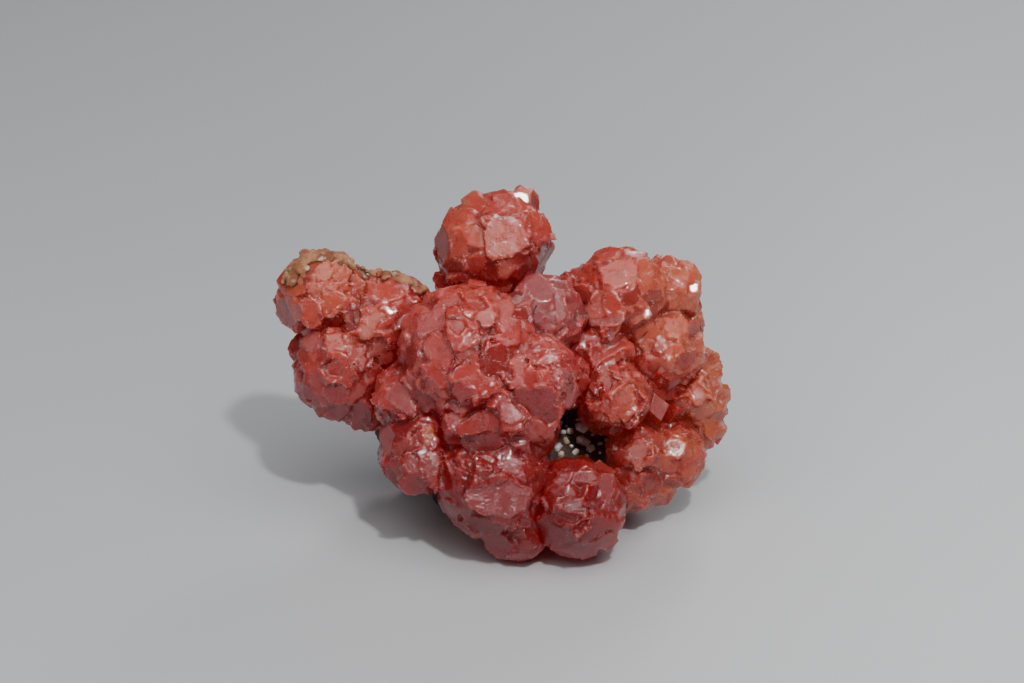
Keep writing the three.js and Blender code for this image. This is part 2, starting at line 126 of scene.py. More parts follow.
# The faces that show in the photograph's view: how each lies, and its corners in pixels. Pale and lilac
# ones lean towards the big light, and dark ones away from it. A flash mirrors the lamp.
FACES = (
    # top ball
    ("flash", (506, 188), (521, 185), (529, 192), (531, 203), (524, 210), (506, 196)),
    ("even", (494, 190), (505, 188), (506, 197), (523, 211), (522, 217), (508, 207), (494, 200)),
    ("dark", (530, 192), (536, 201), (537, 209), (530, 208)),
    ("even", (528, 211), (537, 212), (551, 220), (553, 227), (547, 240), (533, 240), (526, 226)),
    ("flash", (552, 229), (555, 234), (555, 241), (548, 240)),
    ("dark", (534, 242), (547, 242), (554, 243), (553, 262), (545, 275), (535, 271), (530, 262)),
    ("pale", (490, 214), (512, 211), (524, 228), (531, 246), (497, 261), (487, 256), (485, 232)),
    ("pale", (461, 229), (476, 226), (484, 238), (483, 250), (467, 243)),
    ("even", (445, 217), (455, 210), (469, 212), (472, 221), (458, 227), (447, 231)),
    ("dark", (439, 228), (446, 224), (452, 240), (451, 252), (441, 260), (437, 245)),
    ("even", (452, 234), (461, 231), (469, 246), (466, 258), (452, 256)),
    ("even", (468, 256), (482, 251), (487, 260), (484, 268), (474, 277), (467, 268)),
    ("dark", (487, 257), (497, 262), (501, 271), (498, 281), (484, 275)),
    ("pale", (503, 261), (513, 271), (506, 281), (499, 272)),
    ("even", (504, 259), (520, 252), (528, 259), (522, 269), (512, 267)),
    ("pale", (448, 274), (467, 273), (468, 282), (455, 283)),
    ("even", (455, 196), (470, 193), (482, 197), (490, 203), (479, 214), (466, 208)),
    ("even", (488, 204), (500, 201), (514, 209), (508, 213), (495, 210), (482, 215)),
    ("dark", (530, 250), (535, 262), (534, 272), (520, 275), (514, 272), (522, 260)),
    ("dark", (452, 258), (466, 260), (468, 271), (450, 271), (444, 264)),
    # left balls
    ("pale", (311, 276), (318, 266), (328, 262), (332, 272), (331, 281), (318, 281)),
    ("pale", (333, 263), (344, 266), (350, 275), (346, 282), (333, 281)),
    ("even", (308, 283), (322, 283), (323, 301), (317, 300), (308, 292)),
    ("pale", (324, 285), (346, 294), (348, 299), (336, 315), (327, 318), (323, 305)),
    ("pale", (300, 303), (316, 302), (321, 323), (306, 318)),
    ("even", (289, 297), (298, 300), (304, 318), (295, 318), (288, 308)),
    ("dark", (277, 301), (286, 296), (290, 310), (300, 325), (288, 323), (279, 313)),
    ("dark", (323, 319), (338, 317), (346, 310), (349, 322), (333, 330), (322, 328)),
    ("even", (290, 286), (306, 283), (307, 294), (294, 297), (287, 292)),
    ("dark", (350, 303), (358, 306), (362, 317), (354, 331), (344, 329), (342, 318)),
    ("pale", (360, 336), (359, 328), (366, 317), (378, 309), (384, 318), (374, 333), (366, 341)),
    ("flash", (383, 309), (395, 306), (399, 312), (388, 318)),
    ("pale", (371, 345), (380, 336), (389, 344), (396, 361), (392, 371), (383, 371), (376, 360)),
    ("pale", (383, 333), (398, 332), (405, 339), (391, 341)),
    ("dark", (391, 344), (401, 343), (398, 354)),
    ("flash", (405, 336), (411, 328), (414, 334), (409, 342)),
    ("even", (367, 283), (385, 283), (400, 290), (407, 296), (395, 302), (375, 299)),
    ("dark", (406, 285), (422, 289), (431, 300), (420, 299), (408, 294)),
    ("pale", (412, 306), (424, 306), (431, 312), (414, 313)),
    ("even", (405, 318), (419, 316), (423, 325), (412, 334), (405, 329)),
    ("lilac", (305, 346), (310, 333), (318, 332), (326, 345), (320, 350), (308, 350)),
    ("pale", (326, 337), (341, 334), (345, 345), (344, 354), (333, 350)),
    ("even", (344, 336), (351, 337), (362, 350), (368, 360), (362, 373), (350, 371), (346, 356)),
    ("pale", (301, 368), (310, 362), (320, 360), (321, 368), (309, 371)),
    ("pale", (311, 371), (320, 368), (323, 380), (320, 390), (311, 387)),
    ("even", (322, 360), (335, 358), (344, 369), (345, 377), (330, 378), (323, 369)),
    ("even", (324, 384), (340, 384), (351, 392), (345, 402), (330, 400), (323, 394)),
    ("pale", (348, 395), (353, 387), (365, 379), (368, 386), (362, 396), (352, 401)),
    ("dark", (351, 405), (365, 399), (374, 408), (371, 423), (357, 427), (351, 418)),
    ("pale", (291, 345), (299, 339), (303, 350), (296, 355)),
    ("dark", (303, 379), (310, 390), (321, 399), (315, 402), (305, 394)),
    ("amber", (372, 410), (380, 411), (382, 419), (375, 421)),
    ("dark", (440, 271), (450, 279), (456, 290), (446, 292), (438, 284)),
    # centre
    (
        "lilac", (386, 398), (392, 386), (400, 381), (406, 387),
        (412, 400), (417, 416), (411, 418), (399, 408),
    ),
    ("dark", (408, 388), (418, 387), (435, 400), (437, 409), (422, 411), (412, 400)),
    ("even", (425, 345), (436, 333), (446, 339), (455, 352), (450, 371), (437, 366), (427, 359)),
    ("pale", (423, 364), (437, 360), (443, 370), (452, 380), (444, 384), (430, 376)),
    ("pale", (457, 354), (474, 347), (477, 365), (476, 385), (462, 388), (452, 376)),
    ("even", (449, 307), (460, 309), (467, 325), (459, 336), (451, 330), (446, 318)),
    ("pale", (476, 312), (490, 309), (496, 317), (491, 327), (480, 331), (472, 322)),
    ("pale", (461, 337), (476, 332), (484, 338), (471, 348), (461, 347)),
    ("even", (497, 303), (508, 301), (513, 311), (512, 330), (500, 332), (498, 320)),
    ("pale", (486, 336), (500, 334), (512, 342), (498, 341)),
    ("dark", (479, 355), (486, 346), (500, 343), (509, 351), (508, 371), (492, 378), (481, 371)),
    ("pale", (512, 360), (523, 358), (525, 370), (522, 387), (512, 388)),
    ("even", (526, 373), (537, 372), (542, 382), (533, 387), (524, 386)),
    ("pale", (530, 363), (548, 353), (561, 356), (559, 363), (535, 371)),
    ("pale", (549, 373), (560, 369), (566, 375), (566, 385), (557, 384)),
    ("dark", (507, 392), (522, 389), (555, 389), (556, 400), (548, 411), (530, 417), (515, 408)),
    ("lilac", (501, 402), (512, 403), (527, 418), (511, 424), (500, 417)),
    (
        "pale", (456, 430), (461, 424), (478, 413), (490, 408),
        (499, 411), (499, 425), (480, 430), (462, 437),
    ),
    ("flash", (494, 399), (502, 394), (508, 396), (501, 400)),
    ("pale", (446, 418), (452, 412), (460, 415), (460, 425), (453, 430)),
    ("even", (456, 380), (474, 389), (479, 395), (461, 400), (451, 392)),
    ("frost", (506, 292), (515, 284), (525, 280), (530, 299), (512, 308)),
    ("frost", (525, 280), (540, 278), (550, 284), (553, 300), (531, 300)),
    ("frost", (551, 285), (561, 296), (564, 318), (556, 324), (553, 301)),
    ("frost", (531, 301), (552, 301), (556, 324), (546, 334), (534, 322)),
    ("dark", (514, 310), (526, 306), (531, 314), (524, 320), (514, 318)),
    ("lilac", (419, 320), (440, 303), (446, 307), (444, 325), (430, 334), (421, 339)),
    ("dark", (406, 348), (419, 341), (422, 358), (411, 370), (406, 364)),
    ("lilac", (560, 368), (570, 372), (575, 392), (570, 412), (561, 404), (566, 388)),
    # lower centre
    ("lilac", (385, 427), (391, 422), (394, 431), (390, 455), (386, 456), (383, 444)),
    ("dark", (393, 424), (408, 419), (418, 421), (412, 432), (400, 444), (393, 440)),
    ("even", (392, 448), (402, 441), (412, 433), (410, 446), (403, 459), (396, 456)),
    ("pale", (405, 461), (412, 452), (419, 456), (419, 473), (411, 473), (404, 469)),
    ("pale", (421, 455), (435, 452), (440, 462), (438, 490), (432, 491), (424, 470)),
    ("even", (402, 478), (418, 475), (431, 483), (430, 492), (412, 492), (401, 485)),
    ("dark", (441, 462), (450, 460), (456, 480), (454, 499), (443, 499)),
    ("dark", (463, 432), (499, 431), (505, 444), (490, 453), (466, 451), (459, 441)),
    ("even", (471, 457), (489, 455), (497, 461), (490, 469), (476, 466)),
    ("pale", (506, 460), (516, 457), (524, 464), (519, 468), (508, 466)),
    (
        "lilac", (465, 500), (471, 490), (500, 485), (520, 473), (532, 476),
        (534, 490), (530, 507), (510, 518), (480, 511),
    ),
    ("dark", (463, 513), (480, 515), (505, 523), (500, 534), (475, 530), (463, 520)),
    ("dark", (480, 535), (505, 533), (518, 545), (505, 556), (489, 549)),
    ("even", (524, 525), (535, 523), (537, 540), (530, 544), (525, 536)),
    ("dark", (441, 505), (455, 501), (463, 513), (455, 519), (446, 514)),
    ("amber", (423, 431), (433, 425), (437, 438), (432, 446), (425, 443)),
    # lower ball
    ("pale", (535, 508), (544, 503), (546, 512), (540, 517), (534, 514)),
    ("pale", (554, 483), (561, 473), (575, 472), (572, 481), (560, 486)),
    ("even", (576, 472), (590, 471), (599, 480), (590, 485), (574, 483)),
    ("even", (551, 490), (560, 487), (571, 485), (566, 495), (556, 500), (550, 497)),
    ("pale", (565, 500), (580, 498), (587, 506), (584, 512), (570, 512), (563, 506)),
    ("pale", (547, 514), (562, 513), (584, 515), (577, 523), (557, 521)),
    ("pale", (587, 468), (600, 462), (610, 465), (616, 472), (611, 477), (600, 471)),
    ("lilac", (601, 475), (611, 478), (613, 490), (608, 504), (600, 500), (599, 485)),
    ("dark", (585, 487), (597, 483), (599, 495), (592, 505), (584, 500)),
    ("dark", (539, 521), (556, 523), (572, 526), (570, 540), (556, 546), (543, 544), (536, 532)),
    ("dark", (573, 528), (585, 520), (611, 513), (613, 525), (600, 534), (580, 540)),
    ("even", (601, 536), (612, 531), (617, 539), (607, 548), (599, 545)),
    ("dark", (572, 543), (599, 541), (596, 551), (580, 555)),
    # upper right
    ("pale", (571, 273), (579, 268), (586, 271), (588, 280), (573, 280)),
    ("pale", (565, 285), (580, 283), (593, 286), (589, 302), (576, 303), (571, 296)),
    ("even", (585, 268), (592, 264), (598, 278), (593, 285), (589, 279)),
    ("even", (596, 263), (603, 256), (613, 249), (620, 251), (618, 257), (602, 265)),
    ("even", (622, 252), (635, 247), (646, 250), (650, 257), (640, 260), (625, 257)),
    ("pale", (600, 271), (615, 263), (630, 260), (636, 270), (634, 282), (618, 288), (604, 284)),
    ("pale", (634, 262), (645, 260), (654, 269), (653, 280), (645, 287), (638, 275)),
    ("pale", (599, 290), (606, 289), (602, 304), (606, 314), (596, 321), (583, 321), (587, 309)),
    ("even", (607, 291), (617, 293), (622, 311), (612, 315), (605, 311), (602, 302)),
    ("lilac", (584, 323), (600, 318), (616, 316), (622, 314), (623, 321), (610, 325), (590, 326)),
    ("dark", (619, 292), (635, 289), (640, 300), (632, 305), (621, 304)),
    ("flash", (641, 317), (644, 308), (649, 304), (649, 314), (645, 319)),
    ("dark", (642, 300), (646, 290), (661, 290), (663, 299), (650, 303)),
    ("even", (664, 269), (672, 266), (685, 271), (689, 276), (676, 281), (668, 278)),
    ("flash", (688, 284), (696, 281), (699, 289), (694, 296), (689, 293)),
    ("pale", (665, 292), (672, 290), (676, 298), (668, 298)),
    ("even", (680, 297), (690, 298), (697, 301), (693, 310), (682, 310), (678, 303)),
    ("pale", (636, 326), (650, 321), (661, 324), (656, 340), (650, 354), (641, 348), (633, 336)),
    ("even", (663, 318), (679, 318), (688, 325), (680, 341), (666, 338)),
    ("even", (670, 342), (684, 345), (680, 357), (668, 355)),
    ("dark", (690, 323), (698, 320), (701, 330), (695, 341), (688, 338)),
    ("even", (646, 361), (665, 356), (672, 364), (667, 375), (655, 377), (646, 370)),
    ("dark", (676, 356), (693, 347), (694, 361), (684, 371), (675, 367)),
    ("pale", (580, 336), (599, 336), (600, 341), (581, 342)),
    ("even", (579, 349), (585, 351), (599, 377), (597, 386), (590, 379)),
    ("even", (602, 352), (624, 341), (631, 345), (612, 356), (604, 359)),
    ("even", (601, 366), (612, 363), (618, 370), (621, 384), (608, 391), (601, 380)),
    ("dark", (589, 305), (582, 318), (576, 317), (575, 306)),
    ("dark", (605, 329), (629, 327), (624, 339), (607, 341)),
    # right
    ("even", (600, 402), (609, 397), (612, 417), (602, 411)),
    ("pale", (613, 397), (628, 382), (639, 401), (632, 410), (616, 411)),
    ("pale", (691, 386), (698, 384), (706, 390), (706, 400), (693, 405)),
    ("flash", (704, 381), (706, 376), (715, 383), (716, 388), (708, 388)),
    ("even", (700, 363), (711, 360), (720, 367), (721, 377), (712, 378), (703, 371)),
    ("even", (722, 388), (728, 391), (727, 399), (721, 398)),
    ("pale", (671, 401), (689, 397), (686, 417), (677, 412)),
    ("dark", (669, 392), (687, 386), (689, 394), (672, 398)),
    ("even", (693, 406), (706, 404), (709, 412), (700, 419), (693, 416)),
    ("even", (705, 421), (712, 417), (716, 430), (710, 440), (704, 435)),
    ("even", (691, 426), (701, 425), (703, 439), (698, 444), (691, 439)),
    ("pale", (624, 456), (634, 443), (649, 442), (646, 458), (641, 474), (634, 468)),
    ("even", (633, 436), (640, 432), (655, 432), (655, 439), (641, 441)),
    ("pale", (663, 443), (675, 438), (687, 443), (683, 455), (678, 461), (670, 455)),
    ("even", (657, 453), (668, 459), (679, 464), (675, 474), (662, 472), (656, 465)),
    ("even", (685, 462), (694, 452), (698, 462), (695, 474), (686, 480), (681, 474)),
    ("dark", (665, 475), (677, 477), (682, 483), (673, 486), (663, 483)),
    ("dark", (641, 479), (655, 472), (661, 484), (654, 494), (641, 493)),
    ("even", (649, 497), (666, 495), (667, 500), (655, 504)),
)


# Crystals: rhombs with cut corners


def tipped(azimuth, fall):
    """The way that a side faces: its azimuth, and how far it falls from level, in degrees."""
    a, f = math.radians(azimuth), math.radians(fall)
    return Vector((math.sin(f) * math.cos(a), math.sin(f) * math.sin(a), math.cos(f)))


def mesh_of(bm, name):
    """The mesh of some finished edit data, which is freed."""
    mesh = bpy.data.meshes.new(name)
    bm.to_mesh(mesh)
    bm.free()
    return mesh


def solid_around(points, name):
    """The closed convex solid around some points."""
    bm = bmesh.new()
    for point in points:
        bm.verts.new(point)
    bmesh.ops.convex_hull(bm, input=bm.verts)
    bmesh.ops.delete(bm, geom=[v for v in bm.verts if not v.link_faces], context="VERTS")
    bmesh.ops.triangulate(bm, faces=bm.faces)
    return mesh_of(bm, name)


def solid_within(planes, name):
    """The closed solid behind every plane, each a place on it and the way that it faces."""
    sides = [(out, out.dot(place)) for place, out in planes]
    corners = []
    for (a, da), (b, db), (c, dc) in itertools.combinations(sides, 3):
        solve = Matrix((a, b, c))
        if abs(solve.determinant()) < 1e-4:
            continue
        corner = solve.inverted() @ Vector((da, db, dc))
        if all(out.dot(corner) < reach + 1e-5 for out, reach in sides):
            corners.append(corner)
    return solid_around(corners, name)


def within_outline(pixels, corners):
    """Which of many pixels lie inside an outline."""
    u, v = pixels
    crossed = np.zeros(len(u), dtype=bool)
    for (u0, v0), (u1, v1) in zip(corners, corners[1:] + corners[:1]):
        if v0 != v1:
            crossed ^= ((v0 > v) != (v1 > v)) & (u < u0 + (v - v0) * (u1 - u0) / (v1 - v0))
    return crossed


def turned(out, towards, degrees):
    """A direction turned towards another by up to these degrees, or away from it if below 0."""
    axis = out.cross(towards)
    if axis.length < 1e-6:
        return out
    angle = min(math.radians(degrees), out.angle(towards))
    return Matrix.Rotation(angle, 3, axis) @ out


def mirror_way(place, light):
    """The way that a face at a place, in millimetres, turns to mirror a light to the camera."""
    eye = (VIEW_MIDDLE + view_axes()[2] * VIEW_DISTANCE) / MM
    return ((eye - place).normalized() + (Vector(light) / MM - place).normalized()).normalized()


def face_way(kind, place, out):
    """The way that a kind of face turns, at a place with this way out of the skin."""
    if kind == "flash":
        return mirror_way(place, LAMP)
    if kind in FACE_LEANS:
        return turned(out, mirror_way(place, KEY), FACE_LEANS[kind])
    return out


def seen_face(kind, corners, skins):
    """Where a face of the photograph's view lies, in millimetres, and the way that it faces."""
    middle = tuple(sum(c) / len(corners) for c in zip(*corners))
    eye, towards = view_ray(*middle)
    eye = eye / MM
    hits = []
    for skin in skins:
        place, out, _, distance = skin.ray_cast(eye, towards)
        if place is not None:
            hits.append((distance, place, out, skin))
    if not hits:
        raise RuntimeError(f"No cluster is behind the face around {middle}")
    _, place, out, skin = min(hits, key=lambda hit: hit[0])
    samples = [place]
    for (u, v) in corners:
        inner = view_ray(middle[0] + (u - middle[0]) * 0.75, middle[1] + (v - middle[1]) * 0.75)[1]
        at, way, _, _ = skin.ray_cast(eye, inner)
        if at is not None and (at - place).length < FACE_SPREAD:
            samples.append(at)
            out = out + way * 0.6
    way = face_way(kind, place, out.normalized())
    level = sum((at - place).dot(way) for at in samples) / len(samples)
    return place + way * (level + FACE_RISE), way


def solid_mm(node):
    """A copy of a node's solid, in millimetres."""
    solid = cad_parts[node].data.copy()
    solid.transform(Matrix.Scale(1 / MM, 4))
    solid.materials.clear()
    return solid


def remeshed(mesh, voxel, rounds=0):
    """A mesh rebuilt with even faces, and smoothed this many times."""
    base = bpy.data.objects.new("base", mesh)
    bpy.context.scene.collection.objects.link(base)
    remesh = base.modifiers.new("Even", "REMESH")
    remesh.mode = "VOXEL"
    remesh.voxel_size = voxel
    if rounds:
        smooth = base.modifiers.new("Round", "SMOOTH")
        smooth.iterations = rounds
    graph = bpy.context.evaluated_depsgraph_get()
    even = bpy.data.meshes.new_from_object(base.evaluated_get(graph))
    bpy.data.objects.remove(base)
    return even


def softened(node, voxel, inset):
    """A node's solid in millimetres with rounded edges, and its skin drawn in a little."""
    mesh = remeshed(solid_mm(node), voxel, SKIN_ROUNDS)
    mesh.materials.clear()
    for vert, normal in zip(mesh.vertices, [n.vector.copy() for n in mesh.vertex_normals]):
        vert.co -= normal * inset
    return mesh


class Skin:
    """Random places on a mesh, even over its area, with the way out of it there."""

    def __init__(self, mesh):
        mesh.calc_loop_triangles()
        self.corners = [
            [mesh.vertices[v].co.copy() for v in tri.vertices] for tri in mesh.loop_triangles
        ]
        self.outs = [tri.normal.copy() for tri in mesh.loop_triangles]
        self.running, total = [], 0.0
        for tri in mesh.loop_triangles:
            total += tri.area
            self.running.append(total)
        self.area = total

    def place(self, rng):
        i = bisect.bisect_left(self.running, rng.random() * self.area)
        i = min(i, len(self.running) - 1)
        a, b, c = self.corners[i]
        r, s = sorted((rng.random(), rng.random()))
        return a * (1 - s) + b * r + c * (s - r), self.outs[i]


def tilted(rng, normal, degrees):
    spread = math.tan(math.radians(degrees))
    return (normal + Vector([rng.gauss(0, spread) for _ in range(3)])).normalized()


def faces_of(place, out, turn, wide, long, habit, rng):
    """The faces of a low rhomb that stands on a skin: its blunt top, then four steep sides."""
    blunt = (180 - RHOMB_CORNER) / 2
    if habit == "corner":
        tops = [tipped(120 * i + rng.gauss(0, 10), rng.uniform(10, 24)) for i in range(3)]
    elif habit == "ridge":
        tops = [tipped(180 * i + rng.gauss(0, 10), rng.uniform(9, 22)) for i in range(2)] + [UP]
    else:
        tops = [UP] * 3
    faces = [(Vector((0, 0, 0)), top) for top in tops]
    for azimuth in (blunt, 180 - blunt, 180 + blunt, 360 - blunt):
        reach = rng.uniform(0.3, 0.5)
        angle = math.radians(azimuth)
        side = Vector((math.cos(angle) * wide, math.sin(angle) * long, 0)) * reach
        faces.append((side, tipped(azimuth + rng.gauss(0, 9), rng.uniform(62, 84))))
    lay = UP.rotation_difference(out).to_matrix() @ Matrix.Rotation(turn, 3, "Z")
    return [(place + lay @ at, lay @ way) for at, way in faces]


class Relief:
    """Crystal faces cut into a fine skin: each point moves along its normal, in millimetres."""

    def __init__(self, mesh):
        count = len(mesh.vertices)
        self.mesh = mesh
        self.points, self.normals = np.empty(count * 3), np.empty(count * 3)
        mesh.vertices.foreach_get("co", self.points)
        mesh.vertex_normals.foreach_get("vector", self.normals)
        self.points, self.normals = self.points.reshape(-1, 3), self.normals.reshape(-1, 3)
        self.rise = np.zeros(count)
        self.face, self.finish = np.zeros(count, dtype=int), np.zeros(count, dtype=int)
        self.faces_made = 0

    def near(self, places, count):
        """For each point, the places nearest to it, nearest first."""
        tree = KDTree(len(places))
        for i, place in enumerate(places):
            tree.insert(place, i)
        tree.balance()
        return np.array([[found[1] for found in tree.find_n(point, count)] for point in self.points])

    def rise_to(self, places, ways):
        """How far along its normal each point is from a plane."""
        facing = np.maximum((self.normals * ways).sum(axis=1), 0.15)
        return ((places - self.points) * ways).sum(axis=1) / facing

    def cut(self, seeds, finishes):
        """Cuts flat faces all over, each between those around it, as on a cut stone."""
        places, ways = (np.array([seed[i] for seed in seeds]) for i in (0, 1))
        near = self.near([seed[0] for seed in seeds], CUTS_NEAR)
        lowest = np.full(len(self.rise), NOWHERE)
        for own in near.T:
            rise = self.rise_to(places[own], ways[own])
            rise[(self.normals * ways[own]).sum(axis=1) < LEAST_FACING] = NOWHERE
            lower = rise < lowest
            lowest[lower] = rise[lower]
            self.face[lower] = own[lower]
        lowest[lowest == NOWHERE] = 0
        self.rise = np.clip(lowest, -DEEPEST, HIGHEST)
        self.finish = np.array(finishes)[self.face]
        self.faces_made = len(seeds)

    def build(self, crystals, finishes):
        """Stands crystals on the faces: where one is above what is there, its own faces show."""
        places = np.array([[face[0] for face in faces] for _, faces in crystals])
        ways = np.array([[face[1] for face in faces] for _, faces in crystals])
        near = self.near([middle for middle, _ in crystals], CRYSTALS_NEAR)
        for own in near.T:
            lowest = np.full(len(self.rise), NOWHERE)
            which = np.zeros(len(self.rise), dtype=int)
            for i in range(places.shape[1]):
                rise = self.rise_to(places[own, i], ways[own, i])
                lower = rise < lowest
                lowest[lower], which[lower] = rise[lower], i
            over = (lowest > self.rise) & (lowest < HIGHEST)
            self.rise[over] = lowest[over]
            self.face[over] = (self.faces_made + own * places.shape[1] + which)[over]
            self.finish[over] = np.array(finishes)[own[over]]
        self.faces_made += places.shape[0] * places.shape[1]

    def show(self, seen, kinds):
        """Cuts the faces that the photograph's view shows, inside their outlines."""
        right, up, back = (np.array(axis) for axis in view_axes())
        away = self.points * MM - np.array(VIEW_MIDDLE) - back * VIEW_DISTANCE
        scale = LENS / SENSOR * PICTURE[0] / -(away @ back)
        pixels = PICTURE[0] / 2 + away @ right * scale, PICTURE[1] / 2 - away @ up * scale
        towards = self.normals @ back > 0.05
        for kind, corners, place, way in seen:
            rise = self.rise_to(np.array(place), np.array(way))
            shown = within_outline(pixels, corners) & towards & (abs(rise) < FACE_REACH)
            self.rise[shown] = np.clip(rise, -DEEPEST, HIGHEST)[shown]
            self.face[shown] = self.faces_made
            self.finish[shown] = kinds.index(kind)
            self.faces_made += 1

    def finished(self, low, high):
        """The mesh with its faces cut, in metres, its edges drawn straight and kept in a box."""
        points = self.points + self.normals * self.rise[:, None]
        edges = np.empty(len(self.mesh.edges) * 2, dtype=int)
        self.mesh.edges.foreach_get("vertices", edges)
        a, b = edges.reshape(-1, 2).T
        edged = np.zeros(len(points), dtype=bool)
        crossing = self.face[a] != self.face[b]
        edged[a[crossing]] = edged[b[crossing]] = True
        along = edged[a] & edged[b]
        for _ in range(EDGE_ROUNDS):
            total, count = np.zeros_like(points), np.zeros(len(points))
            for one, other in ((a[along], b[along]), (b[along], a[along])):
                np.add.at(total, one, points[other])
                np.add.at(count, one, 1)
            moved = count > 1
            points[moved] = (points[moved] + total[moved] / count[moved, None]) / 2
        points = np.clip(points, np.array(low) + BOX_MARGIN, np.array(high) - BOX_MARGIN) * MM
        self.mesh.vertices.foreach_set("co", points.ravel())
        first = np.empty(len(self.mesh.polygons), dtype=int)
        self.mesh.polygons.foreach_get("loop_start", first)
        corners = np.empty(len(self.mesh.loops), dtype=int)
        self.mesh.loops.foreach_get("vertex_index", corners)
        self.mesh.polygons.foreach_set("material_index", self.finish[corners[first]])
        self.mesh.update()
        return self.mesh


def spaced(skin, rng, count, gap):
    """Random places on a skin that keep a gap between them, each with its way out."""
    tries = [skin.place(rng) for _ in range(count * 4)]
    kept = []
    taken = np.empty((0, 3))
    for place, out in tries:
        if len(kept) == count:
            break
        if kept:
            clear = (gap * rng.uniform(0.6, 1.3)) ** 2
            if (((taken - np.array(place)) ** 2).sum(axis=1) < clear).any():
                continue
        kept.append((place, out))
        taken = np.vstack((taken, np.array(place)))
    return kept


def cluster_mesh(base, seen, kinds, settings, seed):
    """A cluster's skin cut into big faces, low rhombs and the photograph's view's own faces."""
    rng = random.Random(seed)
    skin, relief = Skin(base), Relief(base)
    scale = settings.crystal_size / MM
    seeds = []
    for place, out in spaced(skin, rng, int(skin.area / (settings.big_area * 1e6)), 1.5 * scale):
        seeds.append((place + out * rng.uniform(-0.06, 0.12), tilted(rng, out, settings.tilt)))
    mixed = [kinds.index(k) for k in ("even",) * 6 + ("pale",) * 2 + ("dark",) * 2]
    relief.cut(seeds, [rng.choice(mixed) for _ in seeds])
    crystals = []
    for place, out in spaced(skin, rng, int(skin.area / (settings.small_area * 1e6)), 0.7 * scale):
        size = rng.triangular(0.9, 3.2, 1.7) * scale
        habit = rng.choice(("face", "face", "corner", "ridge"))
        rise = rng.uniform(0.06, 0.22) if habit == "face" else rng.uniform(0.14, 0.36)
        way = tilted(rng, out, settings.tilt)
        turn = rng.uniform(0, 2 * math.pi)
        long = size * rng.uniform(0.8, 1.4)
        crystals.append((place, faces_of(place + out * rise, way, turn, size, long, habit, rng)))
    relief.build(crystals, [rng.choice(mixed) for _ in crystals])
    relief.show(seen, kinds)
    return relief.finished([c / MM for c in CAD_BOX[0]], [c / MM for c in CAD_BOX[1]])


def skin_tree(node):
    """A node's own solid, in millimetres, to cast rays at."""
    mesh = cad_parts[node].data
    return BVHTree.FromPolygons(
        [v.co / MM for v in mesh.vertices], [p.vertices for p in mesh.polygons]
    )


# Materials


class Nodes:
    """Short calls for making and linking the nodes of one tree."""

    def __init__(self, tree):
        self.tree = tree

    def node(self, kind, **values):
        made = self.tree.nodes.new(kind)
        for key, value in values.items():
            setattr(made, key, value)
        return made

    def link(self, value, socket):
        if isinstance(value, bpy.types.NodeSocket):
            self.tree.links.new(value, socket)
        else:
            socket.default_value = value

    def math(self, operation, a, b=0.0, clamp=False):
        made = self.node("ShaderNodeMath", operation=operation, use_clamp=clamp)
        self.link(a, made.inputs[0])
        self.link(b, made.inputs[1])
        return made.outputs[0]

    def times(self, a, b):
        return self.math("MULTIPLY", a, b)

    def plus(self, a, b, clamp=False):
        return self.math("ADD", a, b, clamp)

    def split(self, place):
        parts = self.node("ShaderNodeSeparateXYZ")
        self.link(place, parts.inputs[0])
        return parts.outputs

    def bump(self, height, strength, distance, normal=None):
        made = self.node("ShaderNodeBump")
        made.inputs["Strength"].default_value = strength
        made.inputs["Distance"].default_value = distance
        self.link(height, made.inputs["Height"])
        if normal is not None:
            self.link(normal, made.inputs["Normal"])
        return made.outputs[0]

    def vector(self, operation, a, b=(0, 0, 0)):
        made = self.node("ShaderNodeVectorMath", operation=operation)
        self.link(a, made.inputs[0])
        self.link(b, made.inputs[1])
        return made.outputs["Value" if operation in ("DOT_PRODUCT", "DISTANCE") else "Vector"]

    def group(self, tree, **values):
        made = self.node("ShaderNodeGroup", node_tree=tree)
        for key, value in values.items():
            self.link(value, made.inputs[key])
        return made.outputs

    def mix(self, factor, a, b, blend="MIX"):
        made = self.node("ShaderNodeMix", data_type="RGBA", blend_type=blend)
        self.link(factor, made.inputs["Factor"])
        self.link(a, made.inputs[6])
        self.link(b, made.inputs[7])
        return made.outputs[2]

    def remap(self, value, low, high, to_low=0.0, to_high=1.0):
        made = self.node("ShaderNodeMapRange")
        for socket, given in zip(made.inputs, (value, low, high, to_low, to_high)):
            self.link(given, socket)
        return made.outputs[0]

    def noise(self, place, scale, detail=3.0, roughness=0.5, distortion=0.0):
        made = self.node("ShaderNodeTexNoise")
        self.link(place, made.inputs["Vector"])
        for name, given in (
            ("Scale", scale), ("Detail", detail), ("Roughness", roughness), ("Distortion", distortion),
        ):
            self.link(given, made.inputs[name])
        return made.outputs["Fac"]


def new_group(name, inputs, outputs):
    """A shader node group: inputs and outputs map each socket's name to its kind or its default."""
    group = bpy.data.node_groups.new(name, "ShaderNodeTree")
    for title, default in inputs.items():
        kind = "NodeSocketColor" if isinstance(default, tuple) else "NodeSocketFloat"
        if default == "vector":
            kind = "NodeSocketVector"
        socket = group.interface.new_socket(title, in_out="INPUT", socket_type=kind)
        if default != "vector":
            socket.default_value = default
    for title, kind in outputs.items():
        group.interface.new_socket(title, in_out="OUTPUT", socket_type=kind)
    nodes = Nodes(group)
    entry, leave = nodes.node("NodeGroupInput"), nodes.node("NodeGroupOutput")
    return group, nodes, entry.outputs, leave.inputs


